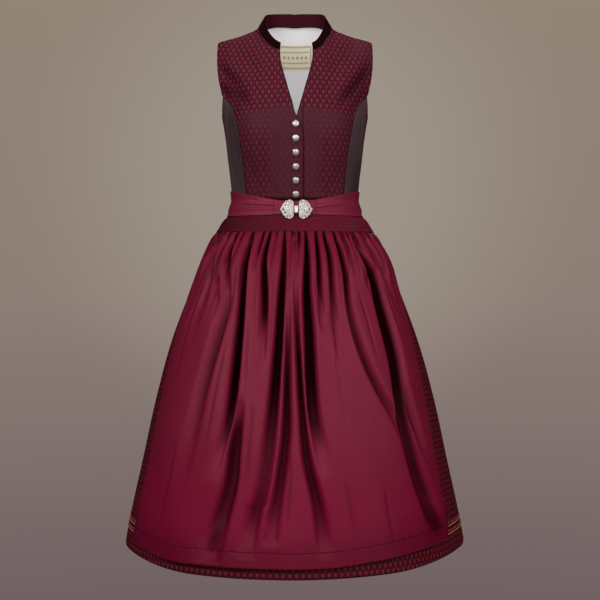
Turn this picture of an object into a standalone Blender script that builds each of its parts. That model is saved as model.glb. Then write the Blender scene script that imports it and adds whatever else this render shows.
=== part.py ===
# Dirndl: a high-necked bodice, a gathered skirt with two piped tucks, and a satin apron closed by a clasp.
# It keeps the hollow form that it has when worn. Metres, +Z up, the front looks along -Y.
# The origin lies midway between the shoulders, where the wearer carries the dress.
# "right" and "left" are the wearer's: right is at -X.
import math
from collections import namedtuple

import bmesh
import bpy
import numpy as np
from mathutils import Matrix, Vector

MM = 0.001
Spread = namedtuple("Spread", "start full")  # where something starts and where it is whole

# Cloth, in millimetres like every size below
CLOTH = 1.6
LINING = 1.0
LINING_GAP = 0.5
LINING_INSET = 0.12  # share of its outer cells that the lining stops short of the armhole
LINING_DROP = 0.45  # and of its top cells, short of the shoulder seam
VELVET = 2.4
SEAM_GAP = 0.3
SIDE_Y = 5.0  # the side seams lie a little behind the shoulder line's middle

# Torso sections from the shoulder ridge down to the waist. height: level on the centre line.
# shoulder: share of the shoulder's fall outwards. front, back: depth from the side line. power: roundness.
TorsoRow = namedtuple("TorsoRow", "height shoulder half_width front back power")
TORSO = (
    TorsoRow(43.0, 1.00, 160.5, 0, 0, 2.3),
    TorsoRow(41.5, 0.98, 161.5, 13, 30, 2.3),
    TorsoRow(37.0, 0.95, 162.5, 26, 52, 2.3),
    TorsoRow(28.0, 0.91, 163.0, 38, 61, 2.3),
    TorsoRow(12.0, 0.83, 163.5, 50, 67, 2.3),
    TorsoRow(-12.0, 0.70, 163.5, 62, 73, 2.3),
    TorsoRow(-45.0, 0.50, 163.0, 78, 80, 2.3),
    TorsoRow(-85.0, 0.28, 159.0, 97, 86, 2.3),
    TorsoRow(-125.0, 0.12, 152.0, 114, 91, 2.3),
    TorsoRow(-165.0, 0.0, 143.5, 128, 93, 2.3),
    TorsoRow(-205.0, 0.0, 137.0, 134, 91, 2.3),
    TorsoRow(-245.0, 0.0, 132.5, 127, 86, 2.3),
    TorsoRow(-285.0, 0.0, 127.5, 113, 80, 2.3),
    TorsoRow(-330.0, 0.0, 123.0, 97, 75, 2.3),
)
WAIST_ROW = len(TORSO) - 1
# How far the shoulder line falls at each distance from the centre, at its full share
ShoulderFall = namedtuple("ShoulderFall", "x fall")
SHOULDER = (
    ShoulderFall(0, 0), ShoulderFall(40, 1), ShoulderFall(58, 9), ShoulderFall(75, 27),
    ShoulderFall(95, 37), ShoulderFall(153, 54), ShoulderFall(170, 60),
)

# Bust shaping that the princess seams give
BUST_OUT = 8.0
BUST_WIDEN = 0.004
BUST_ANGLE = 32.0
BUST_SPREAD = 20.0
BUST_HEIGHT = -205.0
BUST_DROP = 48.0

# Rows of each front. Its inner edge runs down the neck seam, the V and the overlap, as x and level.
# Its outer edge runs down the armhole and the princess seam, as angle from the front centre and height.
# Negative x lies past the centre line.
FrontRow = namedtuple("FrontRow", "x level angle height")
FRONT = (
    FrontRow(75, 43, 69.5, 43), FrontRow(74, 41.5, 69.4, 41.5), FrontRow(72.5, 37, 69.3, 37),
    FrontRow(70, 28, 69.2, 28), FrontRow(67, 12, 69.0, 12), FrontRow(53.5, -19, 68.8, -12),
    FrontRow(40, -34, 68.5, -35), FrontRow(32, -39, 68.2, -55), FrontRow(30.5, -58, 67.7, -75),
    FrontRow(24, -87, 67.0, -95), FrontRow(12.8, -128, 66.0, -115), FrontRow(6.8, -150, 59.0, -130),
    FrontRow(0, -174, 54.0, -143), FrontRow(-8, -196, 50.5, -168), FrontRow(-8, -220, 48.3, -205),
    FrontRow(-8, -250, 46.3, -245), FrontRow(-8, -289, 46.5, -287), FrontRow(-8, -329.2, 46.5, -329.2),
)
NECK_END = 7  # the row where the neck seam ends and the V begins
ARMHOLE_END = 10  # the row where the princess seam leaves the armhole
OVERLAP_FROM = 13
OVERLAP_MORE = 6.0  # the right front reaches this much further over the left one
V_SHIFT = 3.0  # the V opens a little to the left of the centre
OVERLAP_RAISE = 2.6
OVERLAP_WIDTH = 26.0
OVERLAP_RAMP = 14.0
OVERLAP_GROWS = Spread(-112, -150)

# Rows of half the back: neck seam and centre line inside, armhole and princess seam outside
BackRow = namedtuple("BackRow", "x level angle height")
BACK = (
    BackRow(75, 43, 110.5, 43), BackRow(73.5, 42.3, 110.6, 41.5), BackRow(69, 41.3, 110.8, 37),
    BackRow(60, 38.8, 110.9, 28), BackRow(45, 36.1, 111.0, 12), BackRow(25, 33.9, 111.2, -12),
    BackRow(0, 33.4, 111.5, -35), BackRow(0, 18, 112.0, -55), BackRow(0, -8, 112.5, -75),
    BackRow(0, -40, 113.3, -95), BackRow(0, -74, 115.0, -115), BackRow(0, -100, 121.0, -130),
    BackRow(0, -126, 127.0, -143), BackRow(0, -160, 139.0, -168), BackRow(0, -202, 147.0, -205),
    BackRow(0, -245, 150.0, -245), BackRow(0, -287, 151.0, -287), BackRow(0, -329.2, 152.0, -329.2),
)
BACK_NECK_END = 6

# Armhole under the arm, from the princess seam to the side seam, as angles from the side
ArmholeStop = namedtuple("ArmholeStop", "away height")
ARMHOLE_UNDER = (
    ArmholeStop(24.5, -115), ArmholeStop(19, -136), ArmholeStop(13, -150), ArmholeStop(6.5, -159),
    ArmholeStop(0, -162),
)

# Stand collar, from its front end round to the back centre.
# seat is how far its outer side lies within the neck edge.
CollarStop = namedtuple("CollarStop", "share rise lean_in lean_back seat")
COLLAR = (
    CollarStop(0.0, 18, 1, 4, 0.8), CollarStop(0.1, 19, 4, 5, 0.8), CollarStop(0.2, 21, 7, 5, 0.9),
    CollarStop(0.35, 24.5, 11, 4, 1.1), CollarStop(0.47, 29, 13.5, 3, 1.2),
    CollarStop(0.56, 31, 13.5, 1, 1.4), CollarStop(0.76, 29.5, 8, 0, 2.0), CollarStop(1.0, 28.5, 0, 1, 2.6),
)
COLLAR_DROP = 1.6  # its foot reaches this far below the neck seam
COLLAR_BOW = 0.8

# Skirt sections from the waist seam down to the hem
# round_right and round_left are how square each half of the section is.
SkirtRow = namedtuple("SkirtRow", "z half_width front back round_right round_left")
SKIRT = (
    SkirtRow(-330.0, 123, 97, 75, 2.3, 2.3), SkirtRow(-345.0, 123.5, 97, 76, 2.3, 2.3),
    SkirtRow(-357.0, 125, 98, 79.5, 2.3, 2.3), SkirtRow(-366.0, 136.5, 102, 89, 2.3, 2.3),
    SkirtRow(-385.0, 150, 113, 102, 2.25, 2.25), SkirtRow(-410.0, 163.5, 126, 116, 2.2, 2.2),
    SkirtRow(-440.0, 178, 140, 132, 2.2, 2.2), SkirtRow(-480.0, 196, 160, 153, 2.15, 2.15),
    SkirtRow(-540.0, 220, 186, 183, 2.1, 2.1), SkirtRow(-620.0, 248, 216, 211, 2.1, 2.1),
    SkirtRow(-720.0, 275, 247, 237, 2.1, 2.05), SkirtRow(-840.0, 301, 278, 263, 2.05, 1.95),
    SkirtRow(-950.0, 325, 303, 286, 2.03, 1.87), SkirtRow(-1015.0, 337.5, 317, 299, 2.02, 1.84),
)
WAIST_Z = SKIRT[0].z
SKIRT_WALL_ROWS = (-331.2, -350, -358, -367, -398, -436, -490, -580, -730, -880, -1015)

# Gathers of the skirt: fine ones at the waist seam run into broad folds at the hem
BACK_GATHERS = 22
GATHER_COLUMNS = 3
FRONT_COLUMNS = 16
GATHER_DEPTH = 3.6
BACK_FOLDS = 9
FOLD_DEPTH = 11.0
FOLDS_FROM_ANGLE = 84.0
FOLDS_FULL_ANGLE = 104.0
# Heights between which the fine gathers grow and fade, and the broad folds grow
GATHERS_GROW, GATHERS_FADE = Spread(-352, -384), Spread(-430, -640)
FOLDS_GROW, FOLDS_DEEPEN = Spread(-380, -600), Spread(-700, -1015)
FOLDS_ABOVE_SHARE = 0.75  # of their depth at the hem

# Piped tucks above the hem
TUCK_HEIGHTS = (-965.0, -979.0)
PIPING_RADIUS = 1.1

# Apron
SMOCK_ROWS = SKIRT_WALL_ROWS[1:5]
SMOCK_ANGLE = 85.0
SMOCK_PLEATS = 38
SMOCK_RELIEF = 1.3
SMOCK_OUT = 1.9
APRON_GATHERS = 28
APRON_GATHER_DEPTH = 6.0
APRON_REST = 4.9  # clears the piped tucks under it
APRON_REST_TOP = 2.4
APRON_SWELL = 18.0
APRON_SWELL_GROWS, APRON_SWELL_FADES = Spread(-392, -470), Spread(-760, -990)
APRON_SWELL_FADE = 0.62  # share of the swell that is gone at the hem
APRON_GATHERS_GROW, APRON_GATHERS_FADE = Spread(-394, -412), Spread(-400, -500)
APRON_REST_GROWS = Spread(-470, -900)
APRON_LEVELS = (-399.5, -416, -440, -474, -520, -580, -650, -735, -820, -905, -960, -995)
ApronEdge = namedtuple("ApronEdge", "z right left")
APRON_EDGES = (
    ApronEdge(-398, -85, 85), ApronEdge(-440, -82, 81), ApronEdge(-520, -76, 72),
    ApronEdge(-620, -69, 66), ApronEdge(-720, -65, 62), ApronEdge(-1015, -64, 59.5),
)
APRON_LEFT_RISE = 20.0  # the apron hangs a little shorter at its left corner
APRON_CORNER = 18.0
# Deep folds of the apron: where each trough lies across the skirt's half width, and how deep it is,
# at five levels from the smocking to the hem
FOLD_LEVELS = (-430, -542, -678, -810, -930)
Fold = namedtuple("Fold", "across depth width")
APRON_FOLDS = (
    Fold((-0.79, -0.76, -0.80, -0.82, -0.84), (6, 6, 2, 0, 0), 0.030),
    Fold((-0.68, -0.55, -0.59, -0.66, -0.70), (12, 9, 9, 6, 1), 0.034),
    Fold((-0.51, -0.42, -0.395, -0.43, -0.44), (15, 18, 18, 8, 0), 0.036),
    Fold((-0.45, -0.40, -0.37, -0.355, -0.405), (0, 0, 0, 13, 10), 0.040),
    Fold((-0.305, -0.24, -0.23, -0.23, -0.23), (12, 10, 4, 0, 0), 0.030),
    Fold((-0.112, -0.115, -0.133, -0.165, -0.20), (14, 16, 15, 9, 4), 0.030),
    Fold((-0.05, -0.045, -0.045, -0.055, -0.11), (3, 6, 10, 10, 3), 0.024),
    Fold((0.02, 0.016, 0.033, 0.07, 0.148), (3, 7, 11, 12, 6), 0.026),
    Fold((0.128, 0.115, 0.106, 0.155, 0.17), (12, 16, 16, 6, 0), 0.030),
    Fold((0.235, 0.205, 0.21, 0.22, 0.22), (10, 8, 2, 0, 0), 0.028),
    Fold((0.348, 0.305, 0.29, 0.29, 0.29), (10, 8, 3, 0, 0), 0.028),
    Fold((0.472, 0.43, 0.53, 0.56, 0.58), (12, 10, 9, 3, 0), 0.030),
    Fold((0.75, 0.69, 0.655, 0.72, 0.80), (9, 17, 16, 15, 9), 0.042),
)

# Waistband of the apron, from the clasp round to the back centre
BandStop = namedtuple("BandStop", "angle top bottom")
BAND = (
    BandStop(4.2, -334, -359.5), BandStop(13, -331.5, -359.5), BandStop(17, -330, -359.8),
    BandStop(40, -321, -360), BandStop(70, -310, -359), BandStop(90, -307, -358),
    BandStop(135, -307, -357), BandStop(179.85, -307, -357),
)
BAND_OUT_TOP, BAND_OUT_BOTTOM = 2.6, 6.0  # it stands out over the gathers and the smocking
BAND_OUT_CENTRE = 4.9  # over the overlap of the fronts
BAND_CENTRE_ENDS = Spread(13, 26)  # angles
BAND_STANDS_OUT = Spread(-323, -343)
BAND_TUCK = 1.6  # depth of the fold laid along the band
BAND_TUCK_ENDS = Spread(48, 80)  # angles
BandLine = namedtuple("BandLine", "share step")
BAND_FOLD = (
    BandLine(0.0, 0), BandLine(0.34, 1), BandLine(0.44, 1),
    BandLine(0.5, 0), BandLine(0.8, 0), BandLine(1.0, 0),
)
BAND_TACK_ANGLE = 15.5  # where the fold is tacked down beside the clasp

# Buttons and clasp
BUTTONS = 6
BUTTON_X = 2.0
BUTTON_TOP_Z, BUTTON_PITCH = -191.0, 25.6
BUTTON_RADIUS, BUTTON_DOME = 6.6, 4.6
CLASP_X, CLASP_Z = 2.8, -350.0
CLASP_INNER = 4.7  # from its middle to the inner edge of each plate
CLASP_PLATE, CLASP_DOME = 1.6, 2.4
CLASP_BAR_WIDTH, CLASP_BAR_HEIGHT = 8.6, 15.0
CLASP_GAP = 2.1
CLASP_LEAN = 5.0  # degrees that its foot leans out, over the smocking
CLASP_SWEEP = 6.0  # degrees that each plate falls back along the waist
# Upper edge of a clasp plate, from its inner edge out to its point. The lower edge mirrors it.
ClaspStop = namedtuple("ClaspStop", "across up")
CLASP_EDGE = (
    ClaspStop(0, 0), ClaspStop(0, 7), ClaspStop(0.8, 12.6), ClaspStop(2.7, 15.2), ClaspStop(3.5, 18.2),
    ClaspStop(6.2, 19.3), ClaspStop(8.4, 17.8), ClaspStop(9.6, 15.5), ClaspStop(12.6, 15.0),
    ClaspStop(14.2, 12.2), ClaspStop(17.2, 11.2), ClaspStop(18.7, 8.2), ClaspStop(21.4, 6.6),
    ClaspStop(22.8, 3.4), ClaspStop(27, 0),
)
CLASP_CENTRE = 12.0  # where a plate is highest, from its inner edge
ClaspRing = namedtuple("ClaspRing", "size lift")
CLASP_RINGS = (
    ClaspRing(1.0, 0), ClaspRing(1.0, CLASP_PLATE), ClaspRing(0.8, CLASP_PLATE + 0.5),
    ClaspRing(0.4, CLASP_PLATE + CLASP_DOME),
)

# Label sewn on the back lining
LABEL_WIDTH, LABEL_TOP, LABEL_BOTTOM = 74.0, 1.0, -50.0
LABEL_DEPTH = 3.4  # of its inner side from the back's inner side

# Base colour, roughness, metallic
Finish = namedtuple("Finish", "colour roughness metallic")
FINISHES = {
    "jacquard": Finish((0.085, 0.010, 0.025), 0.55, 0.0),
    "satin": Finish((0.165, 0.018, 0.042), 0.35, 0.0),
    "velvet": Finish((0.020, 0.002, 0.005), 0.9, 0.0),
    "lining": Finish((0.80, 0.80, 0.83), 0.4, 0.0),
    "label": Finish((0.72, 0.62, 0.42), 0.7, 0.0),
    "piping": Finish((0.50, 0.16, 0.08), 0.5, 0.0),
    "old_silver": Finish((0.62, 0.60, 0.57), 0.35, 1.0),
}


def curve_through(knots, values):
    """A smooth curve through the values, as a function of the knot."""
    order = np.argsort(knots)
    knots = np.asarray(knots, float)[order]
    values = np.asarray(values, float)[order]
    slopes = np.gradient(values, knots)

    def at(knot):
        knot = min(max(knot, knots[0]), knots[-1])
        i = min(max(int(np.searchsorted(knots, knot)) - 1, 0), len(knots) - 2)
        span = knots[i + 1] - knots[i]
        t = (knot - knots[i]) / span
        held = values[i] * (1 + 2 * t) * (1 - t) ** 2 + values[i + 1] * t * t * (3 - 2 * t)
        return held + span * t * (1 - t) * (slopes[i] * (1 - t) - slopes[i + 1] * t)

    return at


def columns_of(rows, knots):
    """One smooth curve for each named column of a table."""
    return {name: curve_through(knots, [getattr(row, name) for row in rows]) for name in rows[0]._fields}


def smooth_step(low, high, value):
    t = min(max((value - low) / (high - low), 0.0), 1.0)
    return t * t * (3 - 2 * t)


torso = columns_of(TORSO, range(len(TORSO)))
skirt = columns_of(SKIRT, [row.z for row in SKIRT])
shoulder_fall = curve_through([s.x for s in SHOULDER], [s.fall for s in SHOULDER])
ROW_SAMPLES = np.linspace(0, WAIST_ROW, 391)


def section_point(angle, half_width, front, back, power):
    """Plan position on a rounded section, with half a seam gap left open along the sides."""
    turn = math.radians(angle)
    sine, cosine = math.sin(turn), math.cos(turn)
    x = math.copysign(abs(sine) ** (2 / power), sine) * half_width
    depth = abs(cosine) ** (2 / power)
    if abs(math.remainder(angle, 360.0)) <= 90.0:
        return x, SIDE_Y - SEAM_GAP / 2 - depth * front
    return x, SIDE_Y + SEAM_GAP / 2 + depth * back


def torso_size(row):
    return [torso[name](row) for name in ("half_width", "front", "back", "power")]


def torso_point(angle, row):
    x, y = section_point(angle, *torso_size(row))
    height = torso["height"](row)
    z = height - torso["shoulder"](row) * shoulder_fall(abs(x))
    away = math.hypot((abs(angle) - BUST_ANGLE) / BUST_SPREAD, (height - BUST_HEIGHT) / BUST_DROP)
    bust = BUST_OUT * math.exp(-away * away)
    return Vector((x * (1 + BUST_WIDEN * bust), y - bust, z))


def moved_out(point, u, v, out, step=0.02):
    """The surface point(u, v), moved out along its normal."""
    if not out:
        return point(u, v)
    across = point(u + step, v) - point(u - step, v)
    along = point(u, v + step) - point(u, v - step)
    normal = along.cross(across)
    return point(u, v) + normal.normalized() * out


def row_at_height(height):
    return float(np.interp(-height, -np.array([torso["height"](r) for r in ROW_SAMPLES]), ROW_SAMPLES))


def angle_at(x, row):
    """Angle from the front centre of the point at x on a torso row."""
    share = min(abs(x) / torso["half_width"](row), 1.0) ** (torso["power"](row) / 2)
    return math.copysign(math.degrees(math.asin(share)), x)


def skirt_gather(angle, z):
    """How far the skirt stands out: fine gathers, broad soft folds below them, none under the apron."""
    turn = abs(math.remainder(angle, 360.0))
    share = smooth_step(FOLDS_FROM_ANGLE, FOLDS_FULL_ANGLE, turn)
    around = (math.fmod(angle + 360.0, 360.0) - 90.0) / 180.0  # 0 to 1 across the back
    fine = GATHER_DEPTH * smooth_step(*GATHERS_GROW, z) * (1 - smooth_step(*GATHERS_FADE, z))
    broad = FOLD_DEPTH * smooth_step(*FOLDS_GROW, z)
    broad *= FOLDS_ABOVE_SHARE + (1 - FOLDS_ABOVE_SHARE) * smooth_step(*FOLDS_DEEPEN, z)
    drift = 0.10 * math.sin(7.0 * around + 1.2) + 0.05 * math.sin(17.0 * around)
    small = math.cos(2 * math.pi * BACK_GATHERS * around)
    large = math.cos(2 * math.pi * BACK_FOLDS * (around + 0.25 * drift) + 3 * drift)
    return share * (fine * small + broad * large * (0.8 + 2.0 * drift))


def skirt_size(angle, z):
    """Half width, front, back and roundness of the skirt's section for this angle."""
    side = "round_left" if math.sin(math.radians(angle)) > 0 else "round_right"
    return [skirt[name](z) for name in ("half_width", "front", "back", side)]


def level_outward(angle, size):
    """The way straight out of a section, level."""
    ahead, behind = section_point(angle + 0.5, *size), section_point(angle - 0.5, *size)
    return Vector((ahead[1] - behind[1], behind[0] - ahead[0], 0)).normalized()


def skirt_ring(angle, z):
    return Vector((*section_point(angle, *skirt_size(angle, z)), z))


def skirt_point(angle, z, out=0.0):
    """A point on the skirt with its gathers, moved out level so that it clears the slope by out."""
    outward = level_outward(angle, skirt_size(angle, z))
    flare = (skirt_ring(angle, z - 1) - skirt_ring(angle, z + 1)).dot(outward) / 2
    return skirt_ring(angle, z) + outward * (out * math.hypot(1, flare) + skirt_gather(angle, z))


def apron_angles(z):
    return (
        np.interp(-z, [-e.z for e in APRON_EDGES], [e.right for e in APRON_EDGES]),
        np.interp(-z, [-e.z for e in APRON_EDGES], [e.left for e in APRON_EDGES]),
    )


apron_fold_paths = [
    (curve_through(FOLD_LEVELS, fold.across), curve_through(FOLD_LEVELS, fold.depth), fold.width)
    for fold in APRON_FOLDS
]


def apron_out(angle, z, share):
    """How far the apron stands off the skirt: a swell between troughs, and the gathers at its top."""
    across = skirt_ring(angle, z).x / skirt["half_width"](z)
    swell = APRON_SWELL * smooth_step(*APRON_SWELL_GROWS, z)
    swell *= 1 - APRON_SWELL_FADE * smooth_step(*APRON_SWELL_FADES, z)
    swell *= 1 - abs(2 * share - 1) ** 5
    trough = 0.0
    for path, depth, width in apron_fold_paths:
        away = (across - path(z)) / width
        trough = max(trough, depth(z) * math.exp(-0.5 * away * away))
    gather = APRON_GATHER_DEPTH * smooth_step(*APRON_GATHERS_GROW, z)
    gather *= 1 - smooth_step(*APRON_GATHERS_FADE, z)
    ripple = gather * (0.5 - 0.5 * math.cos(2 * math.pi * APRON_GATHERS * share))
    rest = APRON_REST_TOP + (APRON_REST - APRON_REST_TOP) * smooth_step(*APRON_REST_GROWS, z)
    return rest + max(swell - trough, 0.0) + ripple


def collection(name):
    made = bpy.data.collections.new(name)
    bpy.context.scene.collection.children.link(made)
    return made


def finish_of(name):
    """The material for a finish, made once."""
    made = bpy.data.materials.get(name)
    if made:
        return made
    finish = FINISHES[name]
    made = bpy.data.materials.new(name)
    made.use_nodes = True
    shader = made.node_tree.nodes["Principled BSDF"]
    shader.inputs["Base Color"].default_value = (*finish.colour, 1.0)
    shader.inputs["Roughness"].default_value = finish.roughness
    shader.inputs["Metallic"].default_value = finish.metallic
    return made


def new_object(name, data, finish):
    made = bpy.data.objects.new(name, data)
    data.materials.append(finish_of(finish))
    made.parent = root
    dirndl.objects.link(made)
    return made


def grid_mesh(name, grids, closed=False):
    """A quad surface through one grid of points, or a closed wall between an inner and an outer grid.

    Each grid is a list of rows from top to bottom, and each row runs from the wearer's right to left."""
    shape = bmesh.new()
    layers = [[[shape.verts.new(p * MM) for p in row] for row in grid] for grid in grids]
    last_row, last_column = len(grids[0]) - 1, len(grids[0][0]) - 1
    for layer, flip in zip(reversed(layers), (False, True)):
        for r in range(last_row):
            for c in range(last_column):
                corners = [layer[r][c], layer[r + 1][c], layer[r + 1][c + 1], layer[r][c + 1]]
                shape.faces.new(corners[::-1] if flip else corners)
    if closed:
        rim = [(0, c) for c in range(last_column)] + [(r, last_column) for r in range(last_row)]
        rim += [(last_row, c) for c in range(last_column, 0, -1)] + [(r, 0) for r in range(last_row, 0, -1)]
        inner, outer = layers
        for (r0, c0), (r1, c1) in zip(rim, rim[1:] + rim[:1]):
            shape.faces.new((inner[r0][c0], outer[r0][c0], outer[r1][c1], inner[r1][c1]))
        bmesh.ops.recalc_face_normals(shape, faces=shape.faces)
    mesh = bpy.data.meshes.new(name)
    shape.to_mesh(mesh)
    shape.free()
    mesh.shade_smooth()
    return mesh


def cloth_piece(name, grid, finish, thickness=CLOTH, whole=False):
    """A piece of cloth: the grid is its inner side, and its thickness goes outwards.

    A whole piece is given as its left half and mirrored."""
    piece = new_object(name, grid_mesh(name, [grid]), finish)
    if whole:
        other = piece.modifiers.new("other_half", "MIRROR")
        other.merge_threshold = 0.05 * MM
    wall = piece.modifiers.new("cloth", "SOLIDIFY")
    wall.thickness = thickness * MM
    wall.offset = 1.0
    return piece


def torso_grid(rows, out=0.0):
    """Torso points of rows of (angle, row) pairs. Out is a distance, or a function of angle and row."""
    distance = out if callable(out) else lambda angle, row: out
    return [[moved_out(torso_point, a, r, distance(a, r)) for a, r in row] for row in rows]


def mirrored(grid):
    """The same grid on the other half of the body."""
    return [[Vector((-p.x, p.y, p.z)) for p in reversed(row)] for row in grid]


def ruled(inner, outer, columns):
    """Rows between two edges given as arrays of (angle, row)."""
    return [[a + (b - a) * c / columns for c in range(columns + 1)] for a, b in zip(inner, outer)]


def blended(top, bottom, right, left):
    """Rows between four edges, all arrays of (angle, row). Right and left run from top to bottom."""
    rows = []
    for r, (first, last) in enumerate(zip(right, left)):
        v = r / (len(right) - 1)
        row = []
        for c, (over, under) in enumerate(zip(top, bottom)):
            u = c / (len(top) - 1)
            corners = (1 - v) * ((1 - u) * top[0] + u * top[-1]) + v * ((1 - u) * bottom[0] + u * bottom[-1])
            row.append((1 - v) * over + v * under + (1 - u) * first + u * last - corners)
        rows.append(row)
    return rows


HALF_SEAM = math.degrees(SEAM_GAP / 2 / TORSO[-1].front)  # half a seam gap as an angle


def front_edge(side):
    """Inner edge of a front, on the left half for either side."""
    shift, more = (V_SHIFT, 0.0) if side == "left" else (-V_SHIFT, OVERLAP_MORE)
    edge = []
    for number, stop in enumerate(FRONT):
        row = row_at_height(stop.level)
        x = stop.x - more * smooth_step(OVERLAP_FROM - 1, OVERLAP_FROM + 1, number)
        x += shift * smooth_step(NECK_END - 3, NECK_END, number)
        edge.append(np.array((angle_at(x, row), row)))
    return edge


def outer_edge(rows, shift):
    """Outer edge of a front or a back, moved sideways by half a seam below the armhole."""
    edge = []
    for number, stop in enumerate(rows):
        seam = shift if number >= ARMHOLE_END else 0.0
        edge.append(np.array((stop.angle + seam, row_at_height(stop.height))))
    return edge


def back_edge():
    """Neck seam of half the back, then its centre line."""
    edge = []
    for stop in BACK:
        row = row_at_height(stop.level)
        edge.append(np.array((180 - angle_at(stop.x, row), row)))
    return edge


def overlap_raise(angle, row):
    """How far the right front lies over the left one near the centre."""
    point = torso_point(angle, row)
    near = 1 - smooth_step(OVERLAP_WIDTH, OVERLAP_WIDTH + OVERLAP_RAMP, point.x)
    return OVERLAP_RAISE * near * smooth_step(*OVERLAP_GROWS, point.z)


def front_panel(side):
    """Front from the V and the overlap to the armhole and the princess seam."""
    outer = outer_edge(FRONT, -HALF_SEAM)
    if side == "left":
        return torso_grid(ruled(front_edge(side), outer, 7))
    return mirrored(torso_grid(ruled(front_edge(side), outer, 7), overlap_raise))


def side_panel(front):
    """Left side panel between a princess seam and the side seam, under the armhole."""
    sign, seam = (-1, FRONT) if front else (1, BACK)
    side_angle = 90.0 if front else 90.001
    princess = outer_edge(seam, -sign * HALF_SEAM)[ARMHOLE_END:]
    top = [np.array((side_angle + sign * s.away, row_at_height(s.height))) for s in ARMHOLE_UNDER]
    top[0] = princess[0]
    levels = np.linspace(top[-1][1], princess[-1][1], len(princess))
    side = [np.array((side_angle, level)) for level in levels]
    bottom = [princess[-1] + (side[-1] - princess[-1]) * c / (len(top) - 1) for c in range(len(top))]
    if front:
        return torso_grid(blended(top, bottom, princess, side))
    return torso_grid(blended(top[::-1], bottom[::-1], side, princess))


def back_half():
    """Rows of the back's left half, from the armhole and princess seam to the neck and centre line."""
    return ruled(outer_edge(BACK, HALF_SEAM), back_edge(), 6)


def lining_half():
    """The back's own rows, a little short of the shoulder seam, the armhole and the princess seam."""
    rows = back_half()
    rows[0] = [a + (b - a) * LINING_DROP for a, b in zip(rows[0], rows[1])]
    return [[row[0] + (row[1] - row[0]) * LINING_INSET] + row[1:] for row in rows]


def neck_label():
    """Woven label across the back lining."""
    grid = []
    for z in np.linspace(LABEL_TOP, LABEL_BOTTOM, 5):
        row = row_at_height(z)
        reach = angle_at(LABEL_WIDTH / 2, row)
        angles = np.linspace(180 - reach, 180 + reach, 9)
        grid.append([moved_out(torso_point, a, row, -LABEL_DEPTH) for a in angles])
    return grid


def neck_seam(side):
    """Half of the neck seam, laid out on the left from its front end: its points, and the level way in."""
    stops = front_edge(side)[NECK_END::-1] + back_edge()[1:BACK_NECK_END + 1]
    points = [torso_point(a, r) for a, r in stops]
    lifted = [moved_out(torso_point, a, r, 1.0) for a, r in stops]
    inwards = []
    for i, (point, above) in enumerate(zip(points, lifted)):
        along = points[min(i + 1, len(points) - 1)] - points[max(i - 1, 0)]
        inward = (above - point).cross(along)
        inwards.append(Vector((inward.x, inward.y, 0)).normalized())
    return points, inwards


def collar_half(side):
    """Half of the stand collar: its foot follows the neck seam and its top leans in towards the neck."""
    points, inwards = neck_seam(side)
    stops = columns_of(COLLAR, [stop.share for stop in COLLAR])
    lengths = np.cumsum([0.0] + [(b - a).length for a, b in zip(points, points[1:])])
    foot, middle, top = [], [], []
    for point, inward, share in zip(points, inwards, lengths / lengths[-1]):
        base = point + inward * stops["seat"](share) - Vector((0, 0, COLLAR_DROP))
        base.x *= share < 1
        rise = Vector((-stops["lean_in"](share), stops["lean_back"](share), stops["rise"](share)))
        foot.append(base)
        middle.append(base + rise * 0.5 + Vector((COLLAR_BOW * (1 - share), 0, 0)))
        top.append(base + rise)
    return [row[::-1] for row in (top, middle, foot)]


def collar():
    """Whole collar, round from its right front end to its left one."""
    halves = zip(mirrored(collar_half("right")), collar_half("left"))
    return [right[:-1] + left for right, left in halves]


def skirt_columns(start, end):
    """Angles of the skirt's columns: even at the front, a few for each gather behind."""
    back = np.linspace(90, 270, BACK_GATHERS * GATHER_COLUMNS + 1)
    front = np.linspace(-90, 90, FRONT_COLUMNS + 1)
    every = np.concatenate([front, back[1:]])
    return [a for a in every if start - 0.01 <= a <= end + 0.01]


def skirt_panel(start, end, nudge_start=0.0, nudge_end=0.0):
    """A width of the skirt between two seams, from the waist seam to the hem."""
    angles = skirt_columns(start, end)
    angles[0] += nudge_start
    angles[-1] += nudge_end
    return [[skirt_point(a, z) for a in angles] for z in SKIRT_WALL_ROWS]


def skirt_wall_point(angle, z):
    """A point on the skirt's inner side as it is modelled, level between two of its rows."""
    lower = next(i for i, level in enumerate(SKIRT_WALL_ROWS) if level <= z)
    high, low = SKIRT_WALL_ROWS[lower - 1], SKIRT_WALL_ROWS[lower]
    return skirt_point(angle, high).lerp(skirt_point(angle, low), (high - z) / (high - low))


def piping_ring(name, z):
    """A piped tuck: a cord that follows every fold of the skirt just above the hem."""
    wall = [skirt_wall_point(angle, z) for angle in skirt_columns(-90, 270)[:-1]]
    curve = bpy.data.curves.new(name, "CURVE")
    curve.dimensions = "3D"
    curve.bevel_depth = PIPING_RADIUS * MM
    curve.bevel_resolution = 0
    spline = curve.splines.new("POLY")
    spline.points.add(len(wall) - 1)
    spline.use_cyclic_u = True
    stand_off = CLOTH + SEAM_GAP + PIPING_RADIUS
    for i, point in enumerate(wall):
        before = (point - wall[i - 1]).normalized()
        after = (wall[(i + 1) % len(wall)] - point).normalized()
        along = (before + after).normalized()
        outward = Vector((along.y, -along.x, 0)).normalized()
        placed = point + outward * stand_off / along.dot(after)
        spline.points[i].co = (*(placed * MM), 1.0)
    return new_object(name, curve, "piping")


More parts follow.
